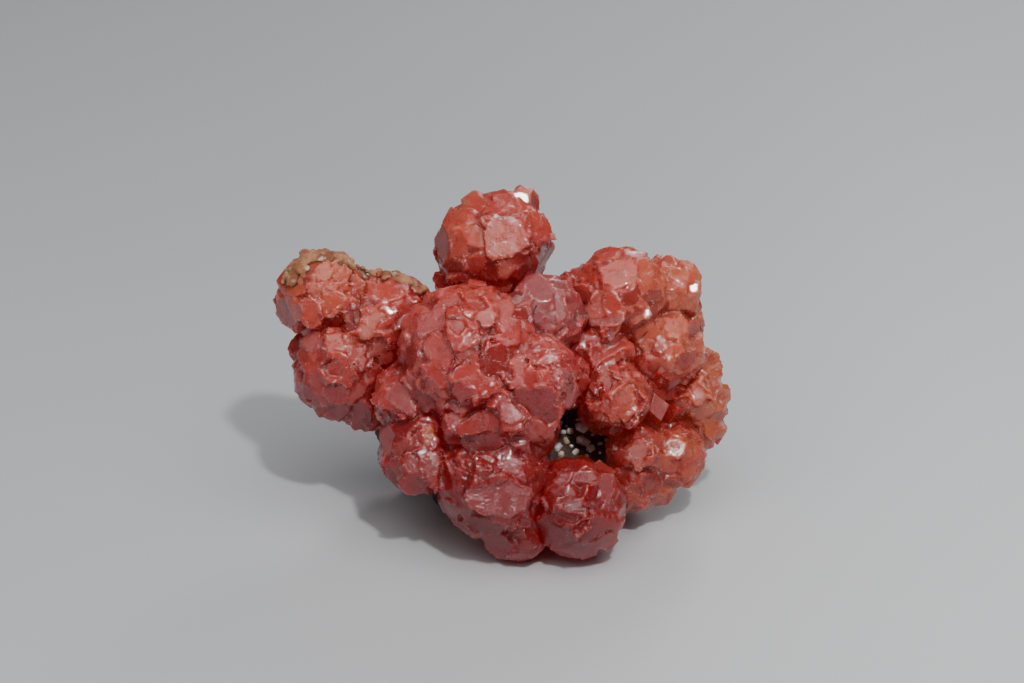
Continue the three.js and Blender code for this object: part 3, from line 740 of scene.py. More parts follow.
def make_millimetres():
    """The place on the object, in millimetres."""
    group, nodes, _, out = new_group("Millimetres", {}, {"Place": "NodeSocketVector"})
    place = nodes.node("ShaderNodeTexCoord").outputs["Object"]
    scaled = nodes.node("ShaderNodeVectorMath", operation="SCALE")
    nodes.link(place, scaled.inputs[0])
    scaled.inputs["Scale"].default_value = 1 / MM
    nodes.link(scaled.outputs[0], out["Place"])
    return group


def make_facet_tone():
    """One random value and one random way for each flat facet, from the way that it faces."""
    group, nodes, _, out = new_group(
        "Facet tone", {}, {"Tone": "NodeSocketFloat", "Way": "NodeSocketVector"}
    )
    facing = nodes.node("ShaderNodeNewGeometry").outputs["True Normal"]
    moved = nodes.vector("ADD", facing, (2.01, 3.02, 5.03))
    snapped = nodes.vector("SNAP", moved, (0.013, 0.013, 0.013))
    dice = nodes.node("ShaderNodeTexWhiteNoise", noise_dimensions="3D")
    nodes.link(snapped, dice.inputs["Vector"])
    nodes.link(dice.outputs["Value"], out["Tone"])
    way = nodes.vector("SUBTRACT", dice.outputs["Color"], (0.5, 0.5, 0.5))
    nodes.link(nodes.vector("NORMALIZE", way), out["Way"])
    return group


def make_growth_lines():
    """Fine parallel steps across a facet, one way on each, on some of the facets."""
    group, nodes, given, out = new_group(
        "Growth lines",
        {"Place": "vector", "Way": "vector", "Tone": 0.5, "Pitch": 0.3, "Share": 0.5},
        {"Height": "NodeSocketFloat"},
    )
    along = nodes.vector("DOT_PRODUCT", given["Place"], given["Way"])
    wander = nodes.noise(given["Place"], 0.8, 2.0)
    steps = nodes.math("DIVIDE", along, given["Pitch"])
    steps = nodes.plus(steps, nodes.times(wander, 3.0))
    patchy = nodes.remap(nodes.noise(given["Place"], 0.9, 2.0), 0.42, 0.55)
    shown = nodes.math("LESS_THAN", given["Tone"], given["Share"])
    saw = nodes.times(nodes.math("FRACT", steps), patchy)
    nodes.link(nodes.times(saw, shown), out["Height"])
    return group


def make_small_facets():
    """Low, flat growth plates that lean a little, each its own way."""
    group, nodes, given, out = new_group(
        "Small facets",
        {"Place": "vector", "Size": 1.0},
        {"Height": "NodeSocketFloat", "Tone": "NodeSocketFloat"},
    )
    scaled = nodes.node("ShaderNodeVectorMath", operation="SCALE")
    bent = nodes.node("ShaderNodeTexNoise")
    nodes.link(given["Place"], bent.inputs["Vector"])
    bent.inputs["Scale"].default_value = 0.5
    nodes.link(nodes.vector("ADD", given["Place"], bent.outputs["Color"]), scaled.inputs[0])
    nodes.link(nodes.math("DIVIDE", 1.0, given["Size"]), scaled.inputs["Scale"])
    turned = nodes.node("ShaderNodeVectorRotate", rotation_type="AXIS_ANGLE")
    nodes.link(scaled.outputs[0], turned.inputs["Vector"])
    turned.inputs["Axis"].default_value = (0.4, 0.7, 0.6)
    turned.inputs["Angle"].default_value = 0.9
    cells = nodes.node("ShaderNodeTexVoronoi", distance="MANHATTAN")
    nodes.link(turned.outputs[0], cells.inputs["Vector"])
    cells.inputs["Scale"].default_value = 1.0
    offset = nodes.vector("SUBTRACT", turned.outputs[0], cells.outputs["Position"])
    lean = nodes.vector("SUBTRACT", cells.outputs["Color"], (0.5, 0.5, 0.5))
    slope = nodes.vector("DOT_PRODUCT", offset, lean)
    tone = nodes.node("ShaderNodeSeparateColor")
    nodes.link(cells.outputs["Color"], tone.inputs[0])
    height = nodes.plus(slope, nodes.times(tone.outputs[1], 0.25))
    nodes.link(nodes.times(height, given["Size"]), out["Height"])
    nodes.link(tone.outputs[2], out["Tone"])
    return group


def make_crevice():
    """How deep in a crevice a place is, from 0 on open faces to 1: the mask of the painted shade in
    crevices and the painted glow in hollows.
    """
    group, nodes, given, out = new_group("Crevice", {"Reach": 0.002}, {"Depth": "NodeSocketFloat"})
    cover = nodes.node("ShaderNodeAmbientOcclusion", samples=4)
    nodes.link(given["Reach"], cover.inputs["Distance"])
    nodes.link(nodes.remap(cover.outputs["AO"], 0.85, 0.2), out["Depth"])
    return group


def make_edge():
    """Rounded edges: the normal across them, and a mask of where they are."""
    group, nodes, given, out = new_group(
        "Edge", {"Radius": 0.0001}, {"Normal": "NodeSocketVector", "Mask": "NodeSocketFloat"}
    )
    rounded = nodes.node("ShaderNodeBevel", samples=4)
    nodes.link(given["Radius"], rounded.inputs["Radius"])
    facing = nodes.node("ShaderNodeNewGeometry").outputs["True Normal"]
    turn = nodes.vector("DOT_PRODUCT", rounded.outputs[0], facing)
    nodes.link(rounded.outputs[0], out["Normal"])
    nodes.link(nodes.remap(turn, 0.995, 0.9), out["Mask"])
    return group


def new_material(name):
    material = bpy.data.materials.new(name)
    material.use_nodes = True
    shader = material.node_tree.nodes["Principled BSDF"]
    return material, Nodes(material.node_tree), shader


def cloudy(shader, weight, radius, ior):
    """Lets light in under the surface, this far for red, green and blue, in millimetres."""
    shader.inputs["Subsurface Weight"].default_value = weight
    shader.inputs["Subsurface Scale"].default_value = MM
    shader.inputs["Subsurface Radius"].default_value = radius
    shader.inputs["IOR"].default_value = ior


# The crystals' and crust's fixed colours.
CORAL = (0.72, 0.21, 0.07, 1)
PEACH = (0.68, 0.19, 0.09, 1)
AMBER = (0.8, 0.2, 0.02, 1)
# Painted reflection: the lilac sheen that is painted on lilac faces
LILAC_PAINTED_SHEEN = (0.46, 0.17, 0.18, 1)
PLUM = (0.24, 0.06, 0.07, 1)
# Painted sparkle: pale pink specks for tiny glints of light
PAINTED_SPARKLE = (0.95, 0.68, 0.6, 1)
# Painted glow: the red and orange light that the crystals give off, next to none on open faces
PAINTED_GLOW_RED = (0.3, 0.006, 0.008, 1)
PAINTED_GLOW_ORANGE = (0.36, 0.03, 0.006, 1)
PAINTED_GLOW_OPEN_FACES = (0.03, 0.0, 0.0, 1)
PAINTED_GLOW_STRENGTH = 0.17
EDGE_WIDTH, CRACK_REACH, HOLLOW_REACH = 0.00008, 0.0007, 0.005  # metres; the crack and hollow reaches set the painted shade, and the hollow one the painted glow too
LINE_PITCH, PLATE_SIZE, FINE_PLATE_SIZE = 0.26, 1.5, 0.55  # mm


def crystal_material(
    name, groups, settings, warmth, milkiness=0.0, depth=0.0, bloom_and_sheen=0.0, glow=0.0, lined=0.45,
):
    """Translucent, waxy carbonate: deep red bodies, cloudy pink and orange parts, growth relief, and
    painted light, shade and glow.

    Milkiness makes it paler, depth darker, bloom dull and mauve, and glow amber. On pale and flash
    faces the milkiness is a painted sheen, on dark faces the depth is painted shade, and a bloom
    under 1 gives a painted lilac sheen. Lined is the share of its facets that have growth lines."""
    material, nodes, shader = new_material(name)
    body, deep, pale, warm = (
        tuple(colour) for colour in (settings.body, settings.deep, settings.pale, settings.warm)
    )
    place = nodes.group(groups["place"])["Place"]
    facet = nodes.group(groups["facet"])
    lines = nodes.group(
        groups["lines"],
        Place=place, Way=facet["Way"], Tone=facet["Tone"], Pitch=LINE_PITCH, Share=lined,
    )
    plates = nodes.group(groups["plates"], Place=place, Size=PLATE_SIZE)
    fine = nodes.group(groups["plates"], Place=place, Size=FINE_PLATE_SIZE)
    edge = nodes.group(groups["edge"], Radius=EDGE_WIDTH)
    crack = nodes.group(groups["crevice"], Reach=CRACK_REACH)["Depth"]
    hollow = nodes.group(groups["crevice"], Reach=HOLLOW_REACH)["Depth"]

    x, _, z = nodes.split(place)
    cloud = nodes.noise(place, 0.16, 3.0, 0.55, 0.4)
    right = nodes.remap(x, 7.0, 16.0)
    left = nodes.times(nodes.remap(x, -9.0, -16.0), nodes.remap(z, 17.0, 24.0))
    high = nodes.times(nodes.remap(z, 24.0, 31.0), 0.6)
    orange = nodes.math("MAXIMUM", nodes.math("MAXIMUM", right, left), high)
    orange = nodes.times(orange, nodes.remap(cloud, 0.3, 0.62, 0.25, 1.0))
    orange = nodes.times(orange, warmth)
    colour = nodes.mix(orange, body, warm)
    rim = nodes.times(nodes.remap(x, 14.0, 20.0), nodes.remap(cloud, 0.35, 0.55))
    colour = nodes.mix(nodes.times(rim, 0.6), colour, CORAL)
    pale = nodes.mix(orange, pale, PEACH)
    milk = nodes.remap(nodes.plus(nodes.times(facet["Tone"], 0.1), cloud), 0.45, 0.8)
    milk = nodes.plus(nodes.times(milk, 0.5), nodes.times(plates["Tone"], 0.3))
    colour = nodes.mix(nodes.plus(milk, milkiness, clamp=True), colour, pale)
    # Painted light and shade: faces turned towards the key light are painted paler, faces turned away
    # from it deeper red
    facing = nodes.node("ShaderNodeNewGeometry").outputs["Normal"]
    lit = nodes.vector("DOT_PRODUCT", facing, PAINTED_LIGHT_WAY)
    colour = nodes.mix(nodes.remap(lit, 0.3, 0.95, 0.0, 0.4), colour, pale)
    colour = nodes.mix(nodes.remap(lit, 0.4, -0.5, 0.0, 0.7), colour, deep)
    veil = nodes.noise(place, 0.75, 4.0, 0.65, 1.2)
    colour = nodes.mix(nodes.remap(veil, 0.5, 0.75, 0.0, 0.3), colour, pale)
    colour = nodes.mix(nodes.remap(veil, 0.46, 0.3, 0.0, 0.5), colour, deep)
    # Painted shade: dark faces are painted deeper red
    if depth:
        colour = nodes.mix(depth, colour, deep)
    if glow:
        colour = nodes.mix(nodes.remap(cloud, 0.3, 0.6, 0.6, 1.0), colour, AMBER)
    # Painted highlight: edges are painted paler
    colour = nodes.mix(nodes.times(edge["Mask"], 0.3), colour, pale)
    # Painted sparkle: pale specks that stand for tiny glints of light, mostly along edges and fewer low
    # down
    painted_sparkles = nodes.remap(nodes.noise(place, 3.2, 3.0, 0.7), 0.53, 0.64)
    painted_sparkles = nodes.times(painted_sparkles, nodes.plus(nodes.times(edge["Mask"], 0.55), 0.03))
    # Painted shade: deeper red towards the bottom, less so on the right
    low = nodes.remap(z, 21.0, 7.5)
    low = nodes.times(low, nodes.remap(x, 8.0, 16.0, 1.0, 0.35))
    colour = nodes.mix(low, colour, deep)
    painted_sparkles = nodes.times(painted_sparkles, nodes.remap(low, 0.0, 1.0, 1.0, 0.5))
    # Painted shade: deep red in hollows and cracks
    colour = nodes.mix(nodes.times(hollow, 0.7), colour, deep)
    colour = nodes.mix(nodes.times(crack, 0.3), colour, deep)

    dome = nodes.vector("DISTANCE", place, FROSTED_DOME)
    frost = nodes.remap(nodes.plus(dome, nodes.times(cloud, 2.0)), 6.0, 4.6)
    frost = nodes.times(frost, 0.75)
    # A bloom under 1 paints a lilac sheen on lilac faces as painted reflection; a full bloom is the dull
    # plum of the frosted ball
    if bloom_and_sheen:
        frost = nodes.math("MAXIMUM", frost, bloom_and_sheen * 0.6)
    colour = nodes.mix(frost, colour, LILAC_PAINTED_SHEEN if 0 < bloom_and_sheen < 1 else PLUM)
    nodes.link(nodes.mix(painted_sparkles, colour, PAINTED_SPARKLE), shader.inputs["Base Color"])
    # Painted glow: the crystals give off red and orange light, strongest deep in hollows and next to
    # none on open faces
    painted_glow = nodes.mix(orange, PAINTED_GLOW_RED, PAINTED_GLOW_ORANGE)
    nodes.link(nodes.mix(hollow, PAINTED_GLOW_OPEN_FACES, painted_glow), shader.inputs["Emission Color"])
    shader.inputs["Emission Strength"].default_value = PAINTED_GLOW_STRENGTH

    grit = nodes.remap(nodes.noise(place, 7.0, 2.0, 0.7), 0.58, 0.72, 0.0, 0.2)
    rough = nodes.remap(facet["Tone"], 0.0, 1.0, 0.08, 0.26)
    rough = nodes.plus(rough, nodes.times(grit, nodes.noise(place, 0.7, 1.0)))
    nodes.link(nodes.plus(rough, nodes.times(frost, 0.4)), shader.inputs["Roughness"])
    cloudy(shader, 1.0, (3.0, 0.4, 0.35), 1.6)
    shader.inputs["Coat Weight"].default_value = 0.25
    shader.inputs["Coat Roughness"].default_value = 0.05

    height = nodes.times(lines["Height"], 0.04 + 0.03 * lined)
    for relief, depth_mm in (
        (plates["Height"], 0.075),
        (fine["Height"], 0.04),
        (nodes.noise(place, 5.0, 3.0, 0.6), 0.015),
        (nodes.noise(place, 0.55, 1.0), 0.06),
    ):
        height = nodes.plus(height, nodes.times(relief, depth_mm))
    sugary = nodes.remap(nodes.noise(place, 0.8, 3.0, 0.6), 0.52, 0.62)
    sugar = nodes.times(nodes.noise(place, 8.0, 2.0, 0.6), nodes.times(sugary, 0.11))
    height = nodes.plus(height, sugar)
    nodes.link(nodes.bump(height, 1.0, MM, edge["Normal"]), shader.inputs["Normal"])
    return material


def rock_material(groups):
    """Dark, rough rock with brown and ochre stain, yellow at the upper left, and painted shade in its
    pits.
    """
    material, nodes, shader = new_material("dark_rock")
    place = nodes.group(groups["place"])["Place"]
    cavity = nodes.group(groups["crevice"], Reach=0.002)["Depth"]
    grain = nodes.noise(place, 2.2, 5.0, 0.65)
    stain = nodes.remap(nodes.noise(place, 0.35, 4.0, 0.6, 0.3), 0.5, 0.68)
    colour = nodes.mix(grain, (0.02, 0.016, 0.014, 1), (0.12, 0.085, 0.065, 1))
    colour = nodes.mix(nodes.times(stain, 0.7), colour, (0.24, 0.11, 0.045, 1))
    x, _, z = nodes.split(place)
    high = nodes.times(nodes.remap(z, 19.5, 22), nodes.remap(x, -6.5, -9))
    high = nodes.times(high, nodes.remap(grain, 0.2, 0.45))
    mottle = nodes.remap(nodes.noise(place, 1.1, 4.0, 0.6), 0.4, 0.65)
    ochre = nodes.mix(mottle, (0.38, 0.17, 0.06, 1), (0.74, 0.58, 0.42, 1))
    colour = nodes.mix(high, colour, ochre)
    specks = nodes.remap(nodes.noise(place, 5.0, 2.0), 0.66, 0.72)
    colour = nodes.mix(nodes.times(specks, 0.6), colour, (0.5, 0.38, 0.28, 1))
    # Painted shade: near black in pits and hollows
    colour = nodes.mix(nodes.times(cavity, 0.6), colour, (0.012, 0.008, 0.007, 1))
    nodes.link(colour, shader.inputs["Base Color"])
    nodes.link(nodes.remap(grain, 0.3, 0.7, 0.45, 0.85), shader.inputs["Roughness"])
    pits = nodes.noise(place, 4.0, 6.0, 0.7)
    nodes.link(nodes.bump(pits, 0.8, 0.15 * MM), shader.inputs["Normal"])
    return material


def crust_material(groups):
    """Ochre, tan and cream iron-stained crust, with painted shade in its hollows."""
    material, nodes, shader = new_material("ochre_crust")
    place = nodes.group(groups["place"])["Place"]
    cavity = nodes.group(groups["crevice"], Reach=0.001)["Depth"]
    patch = nodes.remap(nodes.noise(place, 0.5, 4.0, 0.6), 0.42, 0.6)
    colour = nodes.mix(patch, (0.26, 0.075, 0.022, 1), (0.5, 0.24, 0.12, 1))
    cream = nodes.remap(nodes.noise(place, 0.9, 3.0, 0.5), 0.58, 0.68)
    colour = nodes.mix(cream, colour, (0.72, 0.56, 0.42, 1))
    red = nodes.remap(nodes.noise(place, 0.35, 2.0), 0.55, 0.65)
    colour = nodes.mix(nodes.times(red, 0.7), colour, (0.42, 0.09, 0.05, 1))
    # Painted shade: dark brown in hollows
    colour = nodes.mix(nodes.times(cavity, 0.7), colour, (0.12, 0.035, 0.015, 1))
    nodes.link(colour, shader.inputs["Base Color"])
    nodes.link(nodes.remap(patch, 0.0, 1.0, 0.55, 0.8), shader.inputs["Roughness"])
    shader.inputs["Subsurface Weight"].default_value = 0.4
    shader.inputs["Subsurface Scale"].default_value = MM
    shader.inputs["Subsurface Radius"].default_value = (0.5, 0.3, 0.2)
    grit = nodes.noise(place, 6.0, 5.0, 0.7)
    nodes.link(nodes.bump(grit, 0.8, 0.1 * MM), shader.inputs["Normal"])
    return material


def quartz_material(groups):
    """Clear to milky quartz, stained tan in places."""
    material, nodes, shader = new_material("quartz_grain")
    place = nodes.group(groups["place"])["Place"]
    tint = nodes.remap(nodes.noise(place, 0.8, 2.0), 0.45, 0.6)
    nodes.link(nodes.mix(tint, (0.82, 0.8, 0.8, 1), (0.66, 0.47, 0.33, 1)), shader.inputs["Base Color"])
    rough = nodes.remap(nodes.noise(place, 4.0, 3.0), 0.3, 0.7, 0.15, 0.4)
    nodes.link(rough, shader.inputs["Roughness"])
    cloudy(shader, 0.6, (0.5, 0.4, 0.35), 1.65)
    return material


def floor_material():
    """The pale grey, slightly uneven surface under the specimen."""
    material, nodes, shader = new_material("pale_floor")
    place = nodes.node("ShaderNodeTexCoord").outputs["Object"]
    shade = nodes.remap(nodes.noise(place, 6.0, 3.0), 0.3, 0.7)
    grey = nodes.mix(shade, (0.6, 0.61, 0.63, 1), (0.64, 0.65, 0.67, 1))
    nodes.link(grey, shader.inputs["Base Color"])
    shader.inputs["Roughness"].default_value = 0.45
    return material


def effect_groups():
    """The shared effects, made once."""
    if "Millimetres" not in bpy.data.node_groups:
        for make in (
            make_millimetres, make_facet_tone, make_growth_lines, make_small_facets,
            make_crevice, make_edge,
        ):
            make()
    names = {
        "place": "Millimetres", "facet": "Facet tone", "lines": "Growth lines", "plates": "Small facets",
        "crevice": "Crevice", "edge": "Edge",
    }
    return {key: bpy.data.node_groups[name] for key, name in names.items()}


# Pieces


def add_piece(name, mesh, material=None, smooth=False):
    if material:
        mesh.materials.append(material)
    mesh.polygons.foreach_set("use_smooth", [smooth] * len(mesh.polygons))
    mesh.update()
    piece = bpy.data.objects.new(name, mesh)
    bpy.context.scene.collection.objects.link(piece)
    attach(piece, "root")
    return piece


def weathered_rock(settings):
    """The rock's solid with a broken, pitted surface that stays inside it, flat underneath."""
    mesh = remeshed(solid_mm(ROCK), settings.grain / MM)
    depth = settings.relief / MM
    for vert, normal in zip(mesh.vertices, [n.vector.copy() for n in mesh.vertex_normals]):
        if vert.co.z < 0.05:
            vert.co.z = max(vert.co.z, 0.0)
            continue
        rough = noise.fractal(vert.co * 0.55, 0.9, 2.0, 4)
        ridged = abs(noise.noise(vert.co * 1.6))
        sink = depth * (0.35 + 0.5 * rough - 0.55 * ridged)
        vert.co -= normal * max(sink, -0.05) * min(1.0, vert.co.z / 0.8)
        vert.co.z = max(vert.co.z, 0.0)
    mesh.transform(Matrix.Scale(MM, 4))
    return mesh


# The lines that the ochre crust follows in the photograph's view, in pixels.
CRUST_PATHS = (
    ((291, 280), (299, 266)), ((299, 266), (310, 254)), ((310, 254), (322, 248)),
    ((322, 248), (334, 250)), ((334, 252), (341, 260)), ((341, 260), (356, 262)),
    ((356, 262), (376, 262)), ((376, 262), (392, 270)), ((392, 270), (404, 280)),
    ((404, 281), (420, 287)), ((312, 258), (330, 256)), ((366, 268), (388, 277)),
)
CRUST_GRAINS = 420
CRUST_FINENESS = 0.09  # mm


def crust_mesh(rng, place_at):
    """Lumpy ochre grains along the top of the left cluster."""
    bm = bmesh.new()
    for _ in range(CRUST_GRAINS):
        place, out, size = place_at(rng)
        grain = bmesh.ops.create_icosphere(bm, subdivisions=2, radius=size)["verts"]
        for vert in grain:
            bump = 1 + 0.28 * noise.noise(vert.co * (1.6 / size) + place)
            vert.co = Vector((vert.co.x, vert.co.y, vert.co.z * 0.8)) * bump + place + out * size * 0.2
    joined = remeshed(mesh_of(bm, "crust"), CRUST_FINENESS)
    joined.transform(Matrix.Scale(MM, 4))
    return joined


# Where the grains of quartz lie in the hollow: pixel of the photograph, and length in millimetres.
QUARTZ = (
    (557, 424, 1.5), (549, 436, 1.9), (557, 447, 1.2), (582, 427, 1.5), (583, 440, 2.0), (597, 424, 1.4),
    (571, 431, 1.0), (566, 441, 0.9), (603, 431, 1.2), (575, 452, 0.9), (590, 448, 1.1), (563, 432, 0.8),
    (607, 440, 0.9), (561, 454, 0.9), (593, 415, 0.6), (612, 428, 0.6), (600, 452, 0.5), (578, 420, 0.6),
    (586, 456, 0.5), (553, 428, 0.5), (571, 446, 0.5), (592, 434, 0.5), (600, 443, 0.6), (567, 426, 0.5),
)


def quartz_mesh(rng, seen):
    """Six-sided grains with pointed ends, sunk where the photograph's view meets the rock."""
    bm = bmesh.new()
    for u, v, length in QUARTZ:
        eye, towards = view_ray(u, v)
        place, normal, _, _ = seen.ray_cast(eye, towards)
        if place is None:
            continue
        wide = length * rng.uniform(0.28, 0.4)
        ring = bmesh.ops.create_cone(
            bm, cap_ends=True, segments=6, radius1=wide, radius2=wide, depth=length * 0.6,
        )["verts"]
        tips = []
        for end in (-1, 1):
            cap = [w for w in ring if (w.co.z > 0) == (end > 0)]
            tip = bm.verts.new((0, 0, end * length * 0.5))
            tips.append(tip)
            old = [f for f in bm.faces if set(f.verts) == set(cap)]
            bmesh.ops.delete(bm, geom=old, context="FACES_ONLY")
            cap.sort(key=lambda w: math.atan2(w.co.y, w.co.x))
            for i, w in enumerate(cap):
                pair = (w, cap[(i + 1) % 6], tip)
                bm.faces.new(pair if end > 0 else pair[::-1])
        lie = Vector((rng.uniform(-1, 1), rng.uniform(-1, 1), rng.uniform(-0.3, 0.6))).normalized()
        turn = UP.rotation_difference(lie).to_matrix().to_4x4()
        move = Matrix.Translation(place / MM + normal * 0.05) @ turn
        bmesh.ops.transform(bm, matrix=move, verts=ring + tips)
    mesh = mesh_of(bm, "quartz")
    mesh.transform(Matrix.Scale(MM, 4))
    return mesh


# Where red rhombs grow down in the gaps between the clusters: pixel of the photograph, and size
# in millimetres.
GAP_RHOMBS = (
    (660, 397, 3.2), (661, 411, 3.0), (672, 411, 3.0), (674, 388, 2.8), (653, 398, 2.8), (661, 388, 2.6),
    (675, 419, 2.6), (685, 421, 2.4), (666, 402, 2.6), (650, 408, 2.6), (657, 378, 2.6), (668, 376, 2.6),
)
GAP_SINK = 0.3  # share of its size that a rhomb lies deeper than what carries it


def rhomb_mesh(rng, size):
    """A rhomb with uneven cuts across some of its edges."""
    planes = []
    for i in range(3):
        way = tipped(120 * i + rng.gauss(0, 6), 52)
        for side in (way, -way):
            planes.append((side * size * rng.uniform(0.36, 0.5), side))
    for _ in range(5):
        way = tipped(rng.uniform(0, 360), rng.uniform(0, 180))
        planes.append((way * size * rng.uniform(0.38, 0.5), way))
    return solid_within(planes, "rhomb")


def gap_rhombs_mesh(rng, trees):
    """Rhombs sunk where the photograph's view meets whatever carries them in the gaps."""
    bm = bmesh.new()
    for u, v, size in GAP_RHOMBS:
        eye, towards = view_ray(u, v)
        hits = [tree.ray_cast(eye / MM, towards) for tree in trees]
        hits = [hit for hit in hits if hit[0] is not None]
        if not hits:
            continue
        place, out, _, _ = min(hits, key=lambda hit: hit[3])
        rhomb = rhomb_mesh(rng, size)
        lie = Vector((rng.uniform(-1, 1), rng.uniform(-1, 0), rng.uniform(0, 1))).normalized()
        turn = UP.rotation_difference(lie).to_matrix().to_4x4()
        rhomb.transform(Matrix.Translation(place + towards * size * GAP_SINK) @ turn)
        bm.from_mesh(rhomb)
    mesh = mesh_of(bm, "gap_rhombs")
    mesh.transform(Matrix.Scale(MM, 4))
    return mesh


# Settings


class CrystalSettings(bpy.types.PropertyGroup):
    seed: IntProperty(name="Seed", description="Changes where the crystals grow", default=7)
    crystal_size: FloatProperty(
        name="Crystal size", description="Size of a middling crystal", default=1.0 * MM,
        unit="LENGTH", precision=5,
    )
    big_area: FloatProperty(
        name="Big crystal area", description="Surface for each big crystal",
        default=3.4 * MM * MM, unit="AREA", precision=8,
    )
    small_area: FloatProperty(
        name="Small crystal area", description="Surface for each small crystal",
        default=3.0 * MM * MM, unit="AREA", precision=8,
    )
    tilt: FloatProperty(
        name="Tilt", description="Usual lean of a small crystal from its ball, in degrees", default=7.0,
    )
    fineness: FloatProperty(
        name="Fineness", description="Size of the skin's mesh that the faces are cut in",
        default=0.155 * MM, unit="LENGTH", precision=5,
    )
    inset: FloatProperty(
        name="Inset", description="How far the balls are drawn in before crystals cover them",
        default=0.12 * MM, unit="LENGTH", precision=5,
    )
    body: FloatVectorProperty(
        name="Body", description="Colour of the crystals", subtype="COLOR", size=4,
        default=(0.39, 0.017, 0.016, 1),
    )
    # Deep red: also the colour of the painted shade in crevices, on undersides, towards the bottom and
    # on dark faces
    deep: FloatVectorProperty(
        name="Deep", description="Colour in the crevices", subtype="COLOR", size=4,
        default=(0.2, 0.004, 0.006, 1),
    )
    pale: FloatVectorProperty(
        name="Pale", description="Colour of the cloudy parts", subtype="COLOR", size=4,
        default=(0.6, 0.105, 0.085, 1),
    )
    warm: FloatVectorProperty(
        name="Warm", description="Colour of the orange parts", subtype="COLOR", size=4,
        default=(0.62, 0.09, 0.024, 1),
    )


class RockSettings(bpy.types.PropertyGroup):
    grain: FloatProperty(
        name="Grain", description="Size of the rock's surface detail", default=0.3 * MM,
        unit="LENGTH", precision=5,
    )
    relief: FloatProperty(
        name="Relief", description="Depth of the rock's pits", default=0.7 * MM,
        unit="LENGTH", precision=5,
    )


class StageSettings(bpy.types.PropertyGroup):
    floor_size: FloatProperty(
        name="Floor size", description="Width of the floor", default=6.0, unit="LENGTH",
    )
    key_power: FloatProperty(
        name="Key power", description="Power of the big soft light", default=1.26, unit="POWER",
    )
    fill_power: FloatProperty(
        name="Fill power", description="Power of the side light", default=0.04, unit="POWER",
    )
    lamp_power: FloatProperty(
        name="Lamp power", description="Power of the small lamp", default=0.6, unit="POWER",
    )
    back_power: FloatProperty(
        name="Back power", description="Power of the light behind", default=0.3, unit="POWER",
    )


# Operators


# Each kind of face: its material, and how that differs from plain red.
FINISHES = {
    "even": ("red_crystal", {"warmth": 0.7}),
    # Pale faces: painted sheen of the key light, painted milkier
    "pale": ("pale_face", {"warmth": 0.8, "milkiness": 0.3}),
    # Dark faces: painted shade, painted deeper red and less milky
    "dark": ("dark_face", {"warmth": 0.5, "milkiness": -0.2, "depth": 0.5}),
    # Lilac faces: painted reflection, a painted lilac sheen
    "lilac": ("lilac_face", {"warmth": 0.2, "milkiness": 0.15, "bloom_and_sheen": 0.5, "lined": 1.0}),
    "frost": ("frosted_face", {"warmth": 0.2, "milkiness": 0.1, "bloom_and_sheen": 1.0}),
    "amber": ("amber_face", {"warmth": 1.0, "glow": 1.0}),
    # Flash faces: painted highlight, painted milkier on top of the lamp's real flash
    "flash": ("flash_face", {"warmth": 0.8, "milkiness": 0.4, "lined": 1.0}),
}


class SPECIMEN_OT_crystals(bpy.types.Operator):
    """Grows the crystal clusters over their solids"""

    bl_idname = "specimen.crystals"
    bl_label = "Grow crystal clusters"

    def execute(self, context):
        settings = context.scene.specimen_crystals
        groups = effect_groups()
        finishes = {
            kind: crystal_material(name, groups, settings, **values)
            for kind, (name, values) in FINISHES.items()
        }
        orange = crystal_material("orange_crystal", groups, settings, warmth=1.0)
        kinds = list(finishes)
        skins = [skin_tree(node) for node in CLUSTERS]
        seen = [(kind, corners, *seen_face(kind, corners, skins)) for kind, *corners in FACES]
        for i, node in enumerate(CLUSTERS):
            warm = node == "right_crystals"
            base = softened(node, settings.fineness / MM, settings.inset / MM)
            mesh = cluster_mesh(base, seen, kinds, settings, settings.seed + i)
            for kind in kinds:
                mesh.materials.append(orange if warm and kind == "even" else finishes[kind])
            piece = add_piece(f"{node}_grown", mesh, smooth=True)
            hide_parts(node)
        return {"FINISHED"}


class SPECIMEN_OT_gap_rhombs(bpy.types.Operator):
    """Grows single rhombs in the gaps between the clusters"""

    bl_idname = "specimen.gap_rhombs"
    bl_label = "Grow rhombs in the gaps"

    def execute(self, context):
        # The gap rhombs take the dark faces' finish: painted shade
        finish = bpy.data.materials.get("dark_face")
        if finish is None:
            raise RuntimeError("The clusters are grown before the rhombs between them")
        trees = [skin_tree(node) for node in (*CLUSTERS, ROCK)]
        piece = add_piece("gap_rhombs", gap_rhombs_mesh(random.Random(11), trees), finish)
        return {"FINISHED"}


class SPECIMEN_OT_rock(bpy.types.Operator):
    """Weathers the rock that the crystals grow on"""

    bl_idname = "specimen.rock"
    bl_label = "Weather the rock"

    def execute(self, context):
        mesh = weathered_rock(context.scene.specimen_rock)
        piece = add_piece("weathered_rock", mesh, rock_material(effect_groups()), smooth=True)
        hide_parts(ROCK)
        return {"FINISHED"}


